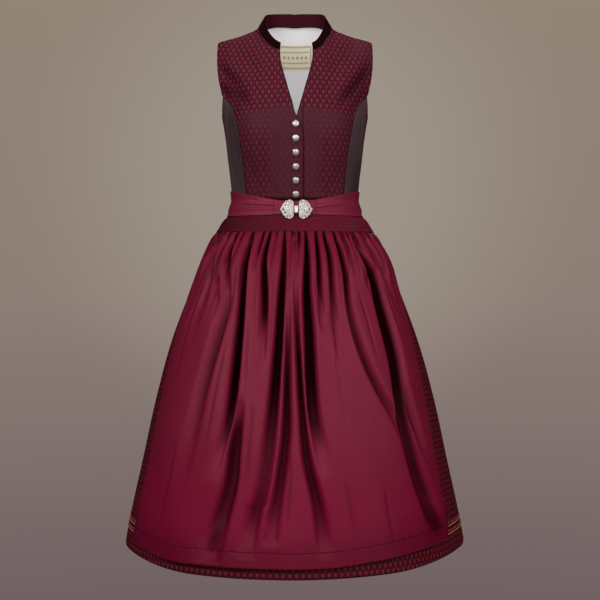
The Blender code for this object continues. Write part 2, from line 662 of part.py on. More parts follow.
def smocking():
    """Smocked head of the apron: even pleats raised on a plain inside."""
    columns = SMOCK_PLEATS * 2
    inner, outer = [], []
    for z in SMOCK_ROWS:
        grow = smooth_step(SMOCK_ROWS[1], SMOCK_ROWS[2], z)
        angles = np.linspace(-SMOCK_ANGLE, SMOCK_ANGLE, columns + 1)
        inner.append([skirt_point(a, z, SMOCK_OUT) for a in angles])
        outer.append([
            skirt_point(a, z, SMOCK_OUT + CLOTH + SMOCK_RELIEF * grow * (i % 2)) for i, a in enumerate(angles)
        ])
    return [inner, outer]


def apron_hem(share):
    """Height of the apron's lower edge: a little higher at the left, with eased corners."""
    reach = 1 - 2 * abs(share - 0.5)
    corner = APRON_CORNER * (1 - smooth_step(0, 0.05, reach)) ** 2
    return APRON_LEVELS[-1] + APRON_LEFT_RISE * smooth_step(0.55, 1.0, share) + corner


def apron_panel():
    """Apron cloth: gathers under the smocking run into a few deep folds that die out above the hem."""
    columns = APRON_GATHERS * GATHER_COLUMNS
    top, bottom = APRON_LEVELS[0], APRON_LEVELS[-1]
    grid = []
    for level in APRON_LEVELS:
        drop = (top - level) / (top - bottom)
        row = []
        for c in range(columns + 1):
            share = c / columns
            z = top - drop * (top - apron_hem(share))
            right, left = apron_angles(z)
            angle = right + share * (left - right)
            row.append(skirt_point(angle, z, apron_out(angle, z, share)))
        grid.append(row)
    return grid


def band_point(angle, z, out):
    """A point at the waist, on the bodice above the seam and on the ungathered skirt below it."""
    size = torso_size(row_at_height(z)) if z > WAIST_Z else skirt_size(angle, z)
    centre = 1 - smooth_step(*BAND_CENTRE_ENDS, abs(angle))
    clear = BAND_OUT_TOP + (BAND_OUT_CENTRE - BAND_OUT_TOP) * centre
    clear += max(BAND_OUT_BOTTOM - clear, 0.0) * smooth_step(*BAND_STANDS_OUT, z)
    return Vector((*section_point(angle, *size), z)) + level_outward(angle, size) * (clear + out)


def waistband():
    """Left half of the apron's waistband, from the clasp to the back centre, with a fold laid along it."""
    top_of = curve_through([s.angle for s in BAND], [s.top for s in BAND])
    bottom_of = curve_through([s.angle for s in BAND], [s.bottom for s in BAND])
    angles = np.concatenate([
        np.linspace(BAND[0].angle, BAND_TACK_ANGLE, 3),
        np.linspace(BAND_TACK_ANGLE, 95, 15)[1:],
        np.linspace(95, BAND[-1].angle, 9)[1:],
    ])
    inner, outer = [], []
    for share, step in BAND_FOLD:
        inner_row, outer_row = [], []
        for angle in angles:
            z = top_of(angle) + share * (bottom_of(angle) - top_of(angle))
            fold = BAND_TUCK * step * (1 - smooth_step(*BAND_TUCK_ENDS, angle))
            inner_row.append(band_point(angle, z, 0.0))
            outer_row.append(band_point(angle, z, CLOTH + fold))
        inner.append(inner_row)
        outer.append(outer_row)
    return [inner, outer]


def clasp_seat(across):
    """Where a piece of the clasp sits, this far across from its middle, and the way it faces."""
    middle = band_point(angle_at(CLASP_X, WAIST_ROW), CLASP_Z, CLOTH + BAND_TUCK + CLASP_GAP)
    lean = math.radians(CLASP_LEAN)
    sweep = math.copysign(math.radians(CLASP_SWEEP), across) if across else 0.0
    hinge = math.copysign(CLASP_INNER, across) if across else 0.0
    reach = across - hinge
    seat = middle + Vector((hinge + reach * math.cos(sweep), reach * math.sin(sweep), 0))
    outward = Vector((math.sin(sweep), -math.cos(sweep), 0))
    return seat, outward * math.cos(lean) + Vector((0, 0, math.sin(lean)))


def facing(position, outward):
    """A placement whose +Z points outwards and whose +Y points up."""
    side = Vector((0, 0, 1)).cross(outward).normalized()
    up = outward.cross(side)
    turn = Matrix((side, up, outward)).transposed().to_4x4()
    return Matrix.Translation(position * MM) @ turn


def button_mesh():
    """Domed button with a rim, turned about its shank."""
    radius, dome = BUTTON_RADIUS, BUTTON_DOME
    profile = [(0.0, dome)]
    for step in range(1, 4):
        lift = math.radians(90 - 25 * step)
        profile.append((radius * 0.92 * math.cos(lift), dome * (0.3 + 0.7 * math.sin(lift))))
    profile += [(radius, dome * 0.3), (radius, dome * 0.12), (radius * 0.5, 0.0), (0.0, 0.0)]
    mesh = bpy.data.meshes.new("button_profile")
    shape = bmesh.new()
    points = [shape.verts.new((x * MM, 0, z * MM)) for x, z in profile]
    for a, b in zip(points, points[1:]):
        shape.edges.new((a, b))
    shape.to_mesh(mesh)
    shape.free()
    return mesh


def buttons():
    """Six buttons down the overlap of the right front."""
    mesh = button_mesh()
    mesh.materials.append(finish_of("old_silver"))
    for number in range(BUTTONS):
        row = row_at_height(BUTTON_TOP_Z - number * BUTTON_PITCH)
        angle = angle_at(BUTTON_X, row)
        on_cloth = moved_out(torso_point, angle, row, OVERLAP_RAISE + CLOTH + SEAM_GAP)
        outward = (on_cloth - torso_point(angle, row)).normalized()
        button = bpy.data.objects.new(f"button_{number + 1}", mesh)
        button.parent = root
        dirndl.objects.link(button)
        button.matrix_world = facing(on_cloth, outward)
        turn = button.modifiers.new("turn", "SCREW")
        turn.axis = "Z"
        turn.steps = turn.render_steps = 12
        turn.use_merge_vertices = True
        turn.merge_threshold = 0.00005
        turn.use_smooth_shade = True


def clasp_half(name, sign):
    """One ornamental plate of the clasp, lobed, pointed outwards and raised in its middle."""
    edge = [(stop.across - CLASP_CENTRE, stop.up) for stop in CLASP_EDGE]
    outline = edge + [(x, -y) for x, y in edge[-2:0:-1]]
    shape = bmesh.new()
    rings = []
    for ring in CLASP_RINGS:
        rings.append([
            shape.verts.new(Vector((sign * x * ring.size, y * ring.size, ring.lift)) * MM) for x, y in outline
        ])
    for low, high in zip(rings, rings[1:]):
        for i in range(len(outline)):
            j = (i + 1) % len(outline)
            shape.faces.new((low[i], low[j], high[j], high[i]))
    shape.faces.new(rings[0])
    shape.faces.new(rings[-1])
    bmesh.ops.recalc_face_normals(shape, faces=shape.faces)
    mesh = bpy.data.meshes.new(name)
    shape.to_mesh(mesh)
    shape.free()
    plate = new_object(name, mesh, "old_silver")
    plate.matrix_world = facing(*clasp_seat(sign * (CLASP_INNER + CLASP_CENTRE)))


def clasp_bar():
    """Hook plate that joins the two halves in the middle."""
    shape = bmesh.new()
    bmesh.ops.create_cube(shape, size=1.0)
    low = CLASP_PLATE + 0.1
    for vert in shape.verts:
        lift = low if vert.co.z > 0 else 0.0
        vert.co = Vector((vert.co.x * CLASP_BAR_WIDTH, vert.co.y * CLASP_BAR_HEIGHT, lift)) * MM
    mesh = bpy.data.meshes.new("clasp_bar")
    shape.to_mesh(mesh)
    shape.free()
    bar = new_object("clasp_bar", mesh, "old_silver")
    bar.matrix_world = facing(*clasp_seat(0.0))


def build_bodice():
    for side in ("right", "left"):
        cloth_piece(f"bodice_front_{side}", front_panel(side), "jacquard")
        for place, front in (("front", True), ("back", False)):
            panel = mirrored(side_panel(front)) if side == "right" else side_panel(front)
            cloth_piece(f"bodice_side_{place}_{side}", panel, "jacquard")
    cloth_piece("bodice_back", torso_grid(back_half()), "jacquard", whole=True)
    lining = torso_grid(lining_half(), -LINING - LINING_GAP)
    cloth_piece("lining_back", lining, "lining", LINING, whole=True)
    cloth_piece("neck_label", neck_label(), "label", LINING)
    cloth_piece("collar", collar(), "velvet", VELVET)
    buttons()


def build_skirt():
    seam = math.degrees(SEAM_GAP / 2 / SKIRT[0].back)
    cloth_piece("skirt_front", skirt_panel(-90, 90), "jacquard")
    cloth_piece("skirt_back_left", skirt_panel(90, 180, 0.001, -seam), "jacquard")
    cloth_piece("skirt_back_right", skirt_panel(180, 270, seam, -0.001), "jacquard")
    for name, z in zip(("piping_upper", "piping_lower"), TUCK_HEIGHTS):
        piping_ring(name, z)


def build_apron():
    new_object("apron_smocking", grid_mesh("apron_smocking", smocking(), closed=True), "satin")
    cloth_piece("apron_panel", apron_panel(), "satin")
    band = waistband()
    for name, grids in (("waistband_left", band), ("waistband_right", [mirrored(grid) for grid in band])):
        new_object(name, grid_mesh(name, grids, closed=True), "satin")
    clasp_half("clasp_right", -1)
    clasp_half("clasp_left", 1)
    clasp_bar()


for old in list(bpy.data.objects):
    bpy.data.objects.remove(old)
dirndl = collection("dirndl")
root = bpy.data.objects.new("dirndl_origin", None)
dirndl.objects.link(root)
build_bodice()
build_skirt()
build_apron()
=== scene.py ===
# Dirndl: cloth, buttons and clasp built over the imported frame.
# Lengths are in millimetres until a mesh is made. The wearer's right is at -X, and the front looks along -Y.
import math

import bpy
import numpy as np
from mathutils import Matrix, Vector


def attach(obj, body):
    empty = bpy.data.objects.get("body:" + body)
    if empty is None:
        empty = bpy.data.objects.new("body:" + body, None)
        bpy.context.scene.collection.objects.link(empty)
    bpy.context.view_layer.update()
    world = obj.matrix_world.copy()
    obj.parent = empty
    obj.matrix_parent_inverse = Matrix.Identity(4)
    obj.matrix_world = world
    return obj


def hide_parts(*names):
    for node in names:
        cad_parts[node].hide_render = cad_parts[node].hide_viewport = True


mm = 0.001
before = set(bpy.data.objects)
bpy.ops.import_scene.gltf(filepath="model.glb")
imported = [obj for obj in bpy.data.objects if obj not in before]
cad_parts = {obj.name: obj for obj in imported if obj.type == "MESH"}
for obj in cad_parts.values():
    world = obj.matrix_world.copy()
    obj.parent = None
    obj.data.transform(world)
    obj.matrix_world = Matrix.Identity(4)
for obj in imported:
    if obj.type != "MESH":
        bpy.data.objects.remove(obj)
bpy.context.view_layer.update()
print("frame loaded:", len(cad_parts), "nodes")

# The cloth stands off the form by its wall, and its own shell is thinner. Both sides meet at the depth sideY.
cloth = {"wall": 1.6, "shell": 1.1, "seamDip": 0.9, "seamWidth": 2.2, "sideY": 5.0}
# Torso sections from the shoulder ridge down to the waist
torsoColumns = ("height", "shoulder", "halfWidth", "front", "back")
torsoRows = (
    (43.0, 1.00, 160.5, 0, 0), (41.5, 0.98, 161.5, 13, 30), (37.0, 0.95, 162.5, 26, 52),
    (28.0, 0.91, 163.0, 38, 61), (12.0, 0.83, 163.5, 50, 67), (-12.0, 0.70, 163.5, 62, 73),
    (-45.0, 0.50, 163.0, 78, 80), (-85.0, 0.28, 159.0, 97, 86), (-125.0, 0.12, 152.0, 114, 91),
    (-165.0, 0.0, 143.5, 128, 93), (-205.0, 0.0, 137.0, 134, 91), (-245.0, 0.0, 132.5, 127, 86),
    (-285.0, 0.0, 127.5, 113, 80), (-330.0, 0.0, 123.0, 97, 75),
)
torsoPower = 2.3
waistRow = len(torsoRows) - 1
shoulderLine = ((0, 0), (40, 1), (58, 9), (75, 27), (95, 37), (153, 54), (170, 60))  # x, fall
bust = {"out": 8.0, "widen": 0.004, "angle": 32.0, "spread": 20.0, "height": -205.0, "drop": 48.0}

# Skirt sections from the waist seam down to the hem, each after its height. The halves differ in roundness.
skirtColumns = ("halfWidth", "front", "back", "roundRight", "roundLeft")
skirtRows = (
    (-330.0, 123, 97, 75, 2.3, 2.3), (-345.0, 123.5, 97, 76, 2.3, 2.3), (-357.0, 125, 98, 79.5, 2.3, 2.3),
    (-366.0, 136.5, 102, 89, 2.3, 2.3), (-385.0, 150, 113, 102, 2.25, 2.25),
    (-410.0, 163.5, 126, 116, 2.2, 2.2), (-440.0, 178, 140, 132, 2.2, 2.2),
    (-480.0, 196, 160, 153, 2.15, 2.15), (-540.0, 220, 186, 183, 2.1, 2.1),
    (-620.0, 248, 216, 211, 2.1, 2.1), (-720.0, 275, 247, 237, 2.1, 2.05),
    (-840.0, 301, 278, 263, 2.05, 1.95), (-950.0, 325, 303, 286, 2.03, 1.87),
    (-1015.0, 337.5, 317, 299, 2.02, 1.84),
)


def curveThrough(knots, values):
    # a smooth curve through the values, for a number or an array of knots
    order = np.argsort(knots)
    knots = np.asarray(knots, float)[order]
    values = np.asarray(values, float)[order]
    slopes = np.gradient(values, knots)

    def at(knot):
        knot = np.clip(knot, knots[0], knots[-1])
        i = np.clip(np.searchsorted(knots, knot) - 1, 0, len(knots) - 2)
        span = knots[i + 1] - knots[i]
        t = (knot - knots[i]) / span
        held = values[i] * (1 + 2 * t) * (1 - t) ** 2 + values[i + 1] * t * t * (3 - 2 * t)
        return held + span * t * (1 - t) * (slopes[i] * (1 - t) - slopes[i + 1] * t)

    return at


def smoothStep(start, full, value):
    t = np.clip((value - start) / (full - start), 0.0, 1.0)
    return t * t * (3 - 2 * t)


def riseAndFall(start, full, fade, gone, value):
    return smoothStep(start, full, value) * (1 - smoothStep(fade, gone, value))


def trough(distance, width, sharpness=1.6):
    return np.exp(-np.abs(distance / width) ** sharpness)


def spacing(count, crowd=0.35):
    # shares from 0 to 1, closer together at both ends
    even = np.linspace(0, 1, count)
    return (1 - crowd) * even + crowd * (0.5 - 0.5 * np.cos(np.pi * even))


def runLengths(points, axis=0):
    # the length walked so far along a line, or along each line of a grid
    steps = np.linalg.norm(np.diff(points, axis=axis), axis=-1)
    return np.insert(np.cumsum(steps, axis=axis), 0, 0.0, axis=axis)


def fromFront(angle):
    # degrees away from the front centre, whichever way round
    turn = np.abs(angle)
    return np.where(turn > 180, 360 - turn, turn)


def curvesOf(rows, knots=None):
    # a curve for each column of a table, whose first column holds the knots where none are given
    columns = list(zip(*rows))
    if knots is None:
        knots, columns = columns[0], columns[1:]
    return [curveThrough(knots, column) for column in columns]


def drawnOut(rows, knots, places):
    # rows of numbers at more places between their knots
    return np.stack([curve(places) for curve in curvesOf(rows, knots)], axis=-1)


torso = dict(zip(torsoColumns, curvesOf(torsoRows, range(len(torsoRows)))))
skirt = dict(zip(skirtColumns, curvesOf(skirtRows)))
shoulderFall, = curvesOf(shoulderLine)
rowSamples = np.linspace(0, waistRow, 1301)
heightSamples = torso["height"](rowSamples)


def sectionPoint(angle, halfWidth, front, back, power):
    turn = np.radians(angle)
    sine, cosine = np.sin(turn), np.cos(turn)
    x = np.sign(sine) * np.abs(sine) ** (2 / power) * halfWidth
    depth = np.abs(cosine) ** (2 / power)
    y = np.where(cosine >= 0, cloth["sideY"] - depth * front, cloth["sideY"] + depth * back)
    return x, y


def torsoPoint(angle, row):
    sizes = [torso[name](row) for name in ("halfWidth", "front", "back")]
    x, y = sectionPoint(angle, *sizes, torsoPower)
    height = torso["height"](row)
    z = height - torso["shoulder"](row) * shoulderFall(np.abs(x))
    away = (np.abs(angle) - bust["angle"]) / bust["spread"]
    below = (height - bust["height"]) / bust["drop"]
    swell = bust["out"] * np.exp(-away * away - below * below)
    return np.stack([x * (1 + bust["widen"] * swell), y - swell, z], axis=-1)


def unit(vectors):
    return vectors / np.maximum(np.linalg.norm(vectors, axis=-1, keepdims=True), 1e-9)


def torsoNormal(angle, row, step=0.03):
    across = torsoPoint(angle + step, row) - torsoPoint(angle - step, row)
    along = torsoPoint(angle, row + step) - torsoPoint(angle, row - step)
    normal = unit(np.cross(along, across))
    normal[..., 1] *= smoothStep(0.0, 1.2, row)  # both sides of the shoulder seam point straight up
    return unit(normal)


def rowAtHeight(height):
    # the torso's row at a height below the shoulders
    return np.interp(-np.asarray(height, float), -heightSamples, rowSamples)


def angleAt(x, row):
    # the front angle whose point lies at x
    share = np.minimum(np.abs(x) / torso["halfWidth"](row), 1.0) ** (torsoPower / 2)
    return np.sign(x) * np.degrees(np.arcsin(share))


def skirtSizes(angle, z):
    left = np.sin(np.radians(angle)) > 0
    power = np.where(left, skirt["roundLeft"](z), skirt["roundRight"](z))
    return skirt["halfWidth"](z), skirt["front"](z), skirt["back"](z), power


def skirtRing(angle, z):
    x, y = sectionPoint(angle, *skirtSizes(angle, z))
    return np.stack([x, y, z + 0 * x], axis=-1)


def levelOutward(angle, sizes):
    # level directions that point straight out of the section
    ahead = sectionPoint(angle + 0.5, *sizes)
    behind = sectionPoint(angle - 0.5, *sizes)
    outward = np.stack([ahead[1] - behind[1], behind[0] - ahead[0], 0 * ahead[0]], axis=-1)
    return unit(outward)


def mirrored(grid):
    # the same grid for the other side of the dress
    flipped = grid[:, ::-1].copy()
    flipped[..., 0] *= -1
    return flipped


class Wire:
    # a socket that takes part in sums, each of which adds a Math node
    def __init__(self, sheet, socket):
        self.sheet, self.socket = sheet, socket

    def __add__(self, other):
        return self.sheet.math("ADD", self, other)

    def __sub__(self, other):
        return self.sheet.math("SUBTRACT", self, other)

    def __rsub__(self, other):
        return self.sheet.math("SUBTRACT", other, self)

    def __mul__(self, other):
        return self.sheet.math("MULTIPLY", self, other)

    def __truediv__(self, other):
        return self.sheet.math("DIVIDE", self, other)

    def __pow__(self, other):
        return self.sheet.math("POWER", self, other)

    def floor(self):
        return self.sheet.math("FLOOR", self)

    def fraction(self):
        return self.sheet.math("FRACT", self)

    def size(self):
        return self.sheet.math("ABSOLUTE", self)

    def least(self, other):
        return self.sheet.math("MINIMUM", self, other)

    def most(self, other):
        return self.sheet.math("MAXIMUM", self, other)

    def step(self, start, full):
        # 0 before start and 1 after full, eased
        settings = {"interpolation_type": "SMOOTHSTEP"}
        return self.sheet.node("ShaderNodeMapRange", settings, {0: self, 1: start, 2: full})


class Sheet:
    # a tree of nodes, built up from wires
    def __init__(self, tree):
        self.tree = tree

    def node(self, kind, settings=None, inputs=None, output=0):
        made = self.tree.nodes.new(kind)
        for key, value in (settings or {}).items():
            if key == "stops":
                ramp = made.color_ramp
                while len(ramp.elements) < len(value):
                    ramp.elements.new(0.5)
                for element, (position, colour) in zip(ramp.elements, value):
                    element.position, element.color = position, colour
            else:
                setattr(made, key, value)
        for key, value in (inputs or {}).items():
            if isinstance(value, Wire):
                self.tree.links.new(value.socket, made.inputs[key])
            else:
                made.inputs[key].default_value = value
        return Wire(self, made.outputs[output])

    def math(self, operation, *values):
        return self.node("ShaderNodeMath", {"operation": operation}, dict(enumerate(values)))

    def mix(self, factor, first, second):
        # two colours mixed; each is a colour of four numbers or a wire
        return self.node("ShaderNodeMix", {"data_type": "RGBA"}, {0: factor, 6: first, 7: second}, 2)

    def parts(self, vector):
        split = self.node("ShaderNodeSeparateXYZ", inputs={0: vector}).socket.node
        return [Wire(self, socket) for socket in split.outputs]


class Finish(Sheet):
    # one material: a Principled surface and the nodes that feed it
    def __init__(self, name, **values):
        self.material = bpy.data.materials.new(name)
        self.material.use_nodes = True
        super().__init__(self.material.node_tree)
        self.shader = self.tree.nodes["Principled BSDF"]
        for socket, value in values.items():
            self.shader.inputs[socket.replace("_", " ")].default_value = value

    def attribute(self, name):
        return self.node("ShaderNodeAttribute", {"attribute_name": name}, output="Fac")

    def flat(self):
        # the cloth's own flat coordinates, in millimetres: across and along
        across, along, _ = self.parts(self.node("ShaderNodeUVMap", {"uv_map": "flat"}))
        return across * 1000, along * 1000

    def noise(self, scale, detail=2.0, stretch=(1, 1, 1)):
        # noise over the object's own position, whose scale is in cells a metre
        place = self.node("ShaderNodeTexCoord", output="Object")
        spread = self.node("ShaderNodeMapping", inputs={0: place, 3: stretch})
        return self.node("ShaderNodeTexNoise", inputs={"Vector": spread, "Scale": scale, "Detail": detail})

    def feed(self, **wires):
        for socket, wire in wires.items():
            self.tree.links.new(wire.socket, self.shader.inputs[socket.replace("_", " ")])
        return self

    def paintShade(self, share, tint):
        # painted shade: the surface gives way to a dull dark one, as deep inside a fold
        look = {"Base Color": tint, "Roughness": 1.0, "Specular IOR Level": 0.0}
        dull = self.node("ShaderNodeBsdfPrincipled", inputs=look)
        bright = Wire(self, self.shader.outputs[0])
        mixed = self.node("ShaderNodeMixShader", inputs={0: share, 1: bright, 2: dull})
        self.tree.links.new(mixed.socket, self.tree.nodes["Material Output"].inputs[0])
        return self

    def raised(self, height, distance, strength=1.0):
        # a bump from a height of 0 to 1
        inputs = {"Height": height, "Distance": distance, "Strength": strength}
        return self.feed(Normal=self.node("ShaderNodeBump", inputs=inputs))


def colour(red, green, blue):
    # display values of 0 to 255 as linear ones
    screen = [v / 255 for v in (red, green, blue)]
    return (*(v / 12.92 if v <= 0.04 else ((v + 0.055) / 1.055) ** 2.4 for v in screen), 1.0)


def darker(tint, share):
    return (*(share * v for v in tint[:3]), 1.0)


jacquardLook = {
    "deep": colour(12, 1, 4), "calm": colour(89, 41, 53), "cellWide": 5.8, "cellTall": 20.6,
    "groundGloss": 0.56, "motifGloss": 0.64,
}
# Tones of the bodice and of the skirt, which is painted darker and redder, as the same cloth in shade with
# less sheen: ground, motif, leaves, shine
jacquardTones = {
    "jacquard": (colour(70, 19, 32), colour(124, 41, 62), colour(44, 9, 19), 0.08),
    "skirt_jacquard": (colour(62, 10, 19), colour(126, 32, 50), colour(37, 5, 11), 0.09),
}


def makeJacquard(name):
    look = jacquardLook
    groundTone, motifTone, leafTone, shine = jacquardTones[name]
    finish = Finish(name, Specular_IOR_Level=shine)
    across, along = finish.flat()
    column = (across / look["cellWide"]).floor()
    x = (((across / look["cellWide"]).fraction() - 0.5) * look["cellWide"]).size()
    y = ((along / look["cellTall"] + (column * 0.5).fraction()).fraction() - 0.5) * look["cellTall"]
    # a small tulip: a pointed bud with a light middle, on a thin stem with two dark leaves beside it
    bud = 1.0 - ((x / 3.2) ** 2.0 + ((y - 1.4) / 4.5) ** 2.0).step(0.4, 1.2)
    tips = 1.0 - ((x - 1.5).size() / 0.9 + (y - 4.6).size() / 1.7).step(0.6, 1.2)
    stem = (1.0 - x.step(0.45, 1.0)) * (1.0 - (y + 4.6).size().step(2.6, 3.6))
    mask = bud.most(tips * 0.8).most(stem * 0.7)
    leaf = 1.0 - (((x - 1.9) / 1.1) ** 2.0 + ((y + 3.6) / 3.1) ** 2.0).step(0.5, 1.2)
    shade = finish.attribute("shade")
    cloudy = finish.noise(26.0, 3.0)
    speck = finish.noise(1500.0, 1.0)
    motif = finish.mix(cloudy, motifTone, darker(motifTone, 0.72))
    plain = finish.mix((leaf * 0.8 + speck * 0.3 - 0.1).least(1.0), groundTone, leafTone)
    # painted sheen: where the attribute says, the weave turns greyish and its motif fainter
    woven = finish.mix(finish.attribute("calm") * 0.78, finish.mix(mask, plain, motif), look["calm"])
    finish.feed(
        # painted shade: darker towards a near-black where the shade attribute says
        Base_Color=finish.mix(shade, woven, look["deep"]),
        Roughness=mask * (look["motifGloss"] - look["groundGloss"]) + look["groundGloss"],
    )
    ribs = ((across * 2.0).fraction() - 0.5).size()
    return finish.raised(mask * 0.6 + ribs * 0.25 + cloudy * 0.15, 0.00025, 0.6).material


sideLook = {"thread": colour(54, 40, 44), "between": colour(94, 70, 74), "check": 4.4}


def makeSideCloth():
    # the side panels' dark cloth with a faint small check and no motif; its greyish tone is painted sheen,
    # the glancing gleam of the weave
    finish = Finish("side_cloth", Specular_IOR_Level=0.22)
    across, along = finish.flat()
    upright, level = (((place / sideLook["check"]).fraction() - 0.5).size() for place in (across, along))
    bars = upright + level
    cloudy = finish.noise(16.0, 2.0, stretch=(1, 1, 0.25))
    uneven = bars.step(0.25, 0.85) * 0.4 + cloudy.step(0.3, 0.7) * 0.6
    plain = finish.mix(uneven, sideLook["thread"], sideLook["between"])
    finish.feed(
        # painted shade: darker towards a near-black where the shade attribute says
        Base_Color=finish.mix(finish.attribute("shade"), plain, jacquardLook["deep"]),
        Roughness=cloudy * 0.1 + 0.6,
    )
    return finish.raised(bars, 0.0002, 0.3).material


# Satin tones: lit for the apron; low, deeper and redder, painted towards the hem for the sheen it lacks
# there; band, lighter and greyer as painted sheen; the near-black of the painted shade in the folds; and
# gleam, the tint of its reflections
satinLook = {
    "lit": (0.200, 0.0073, 0.0322, 1.0), "low": (0.192, 0.0022, 0.0290, 1.0),
    "band": (0.216, 0.0135, 0.041, 1.0), "deep": (0.004, 0.0002, 0.0006, 1.0),
    "gleam": (1.0, 0.50, 0.58, 1.0),
}


def makeSatin(name, lit, gloss, specular):
    finish = Finish(name, Specular_IOR_Level=specular, Specular_Tint=satinLook["gleam"])
    streaks = finish.noise(60.0, 3.0, stretch=(1, 1, 0.12))
    fineStreaks = finish.noise(210.0, 2.0, stretch=(1, 1, 0.05))
    streaked = streaks * 0.35 + fineStreaks.step(0.35, 0.65) * 0.3
    plain = finish.mix(streaked, lit, darker(lit, 0.72))
    # painted: deeper and redder towards the hem, where the cloth shows less sheen
    plain = finish.mix(finish.attribute("calm"), plain, satinLook["low"])
    finish.feed(Base_Color=plain, Roughness=streaks * 0.08 + gloss)
    finish.paintShade(finish.attribute("shade"), satinLook["deep"])
    return finish.raised(streaks + fineStreaks * 0.3, 0.0002, 0.35).material


def makeVelvet(name, pile, worn):
    finish = Finish(
        name, Roughness=0.95, Specular_IOR_Level=0.05,
        Sheen_Weight=0.05, Sheen_Roughness=0.5, Sheen_Tint=colour(150, 40, 62),
    )
    finish.feed(Base_Color=finish.mix(finish.noise(34.0, 2.0), pile, worn))
    return finish.raised(finish.noise(420.0, 3.0), 0.0005, 0.5).material


def makeLining():
    # the lining glows faintly: painted light, which keeps it bright deep in the neck
    finish = Finish(
        "lining", Specular_IOR_Level=0.5, Sheen_Weight=0.1,
        Emission_Color=colour(255, 255, 255), Emission_Strength=0.06,
    )
    cloudy = finish.noise(14.0, 2.0, stretch=(1, 1, 0.4))
    finish.feed(
        Base_Color=finish.mix(cloudy, colour(252, 252, 254), colour(240, 240, 244)),
        Roughness=cloudy * 0.15 + 0.32,
    )
    return finish.raised(finish.noise(120.0, 2.0, stretch=(1, 1, 0.1)), 0.0003, 0.2).material


labelLook = {
    "tape": colour(255, 246, 216), "border": colour(112, 84, 46), "wide": 74.0, "tall": 51.0,
    "top": 1.0, "depth": 3.4, "wall": 0.7, "columns": 60, "rows": 40,
}


def makeLabel():
    look = labelLook
    finish = Finish("label", Roughness=0.7, Specular_IOR_Level=0.3)
    across, along = finish.flat()
    fromEdge = (look["wide"] / 2 - across.size()).least(look["tall"] / 2 - along.size())
    line = 1.0 - ((fromEdge - 4.2).size()).step(0.3, 0.6)
    inner = 1.0 - ((fromEdge - 5.8).size()).step(0.12, 0.4)
    # a row of diamonds in the middle, between two rows of leaves
    cell = ((across / 9.0).fraction() - 0.5).size() * 9.0
    away = cell / 2.7 + along.size() / 3.6
    diamond = 1.0 - (away - 0.72).size().step(0.12, 0.26)
    heart = 1.0 - away.step(0.18, 0.34)
    offset = ((across / 4.5).fraction() - 0.5) * 4.5
    slant = (along.size() - 10.5) - offset * 0.5
    leaf = 1.0 - ((offset / 1.7) ** 2.0 + (slant / 0.9) ** 2.0).step(0.6, 1.3)
    inside = fromEdge.step(7.5, 8.5)
    dark = ((diamond + heart).least(1.0).most(leaf) * inside).most(line).most(inner * 0.6)
    finish.feed(Base_Color=finish.mix(dark, look["tape"], look["border"]))
    weave = ((along * 1.4).fraction() - 0.5).size()
    return finish.raised(weave + dark * 0.8, 0.0003, 0.5).material


def makeThread(name, tint, twist=900.0):
    finish = Finish(name, Roughness=0.6, Specular_IOR_Level=0.4, Sheen_Weight=0.15)
    strands = finish.noise(twist, 2.0, stretch=(1, 1, 0.5))
    finish.feed(Base_Color=finish.mix(strands * 0.5, tint, darker(tint, 0.55)))
    return finish.raised(strands, 0.0003, 0.5).material


def makeSilver():
    finish = Finish("old_silver", Metallic=0.8)
    worn = finish.noise(240.0, 4.0)
    bright = finish.mix(worn, colour(244, 240, 234), colour(214, 208, 202))
    finish.feed(
        Base_Color=finish.mix(finish.attribute("shade"), bright, colour(52, 46, 42)),
        Roughness=worn * 0.18 + 0.24,
    )
    return finish.raised(worn, 0.0002, 0.4).material


def makeStone():
    finish = Finish(
        "clear_stone", Roughness=0.3, Specular_IOR_Level=1.0, Coat_Weight=1.0, Coat_Roughness=0.05,
    )
    tone = finish.mix(finish.noise(900.0, 0.0), colour(255, 254, 252), colour(226, 224, 224))
    return finish.feed(Base_Color=tone).material


def makePlain(name, first, second, scale, **values):
    finish = Finish(name, **values)
    tone = finish.mix(finish.noise(scale, 3.0), first, second)
    return finish.feed(Base_Color=tone).material


finishes = {
    "jacquard": makeJacquard("jacquard"),
    "skirtCloth": makeJacquard("skirt_jacquard"),
    "sideCloth": makeSideCloth(),
    "satin": makeSatin("satin", satinLook["lit"], 0.48, 0.32),
    # the band's copy of the satin is lighter and greyer: painted sheen
    "band": makeSatin("band_satin_painted_sheen", satinLook["band"], 0.5, 0.35),
    "velvet": makeVelvet("velvet", colour(28, 2, 7), colour(20, 1, 4)),
    # a lighter copy of the velvet for the collar's inside: painted light, where the lamps fall on it
    "velvetPaintedLit": makeVelvet("velvet_painted_lit", colour(68, 21, 31), colour(54, 16, 25)),
    "lining": makeLining(),
    "label": makeLabel(),
    "piping": makeThread("piping", colour(198, 108, 78)),
    "redThread": makeThread("red_thread", colour(66, 9, 22)),
    "silver": makeSilver(),
    "stone": makeStone(),
    "oxide": makePlain(
        "dark_silver", colour(150, 144, 138), colour(206, 200, 194), 300.0, Metallic=0.7, Roughness=0.5,
    ),
    # near-black discs of painted shade, seen through the plate's open places
    "hollow": makePlain("hollow", colour(10, 2, 4), colour(18, 6, 8), 300.0, Roughness=0.9),
}
print("materials ready:", len(finishes))


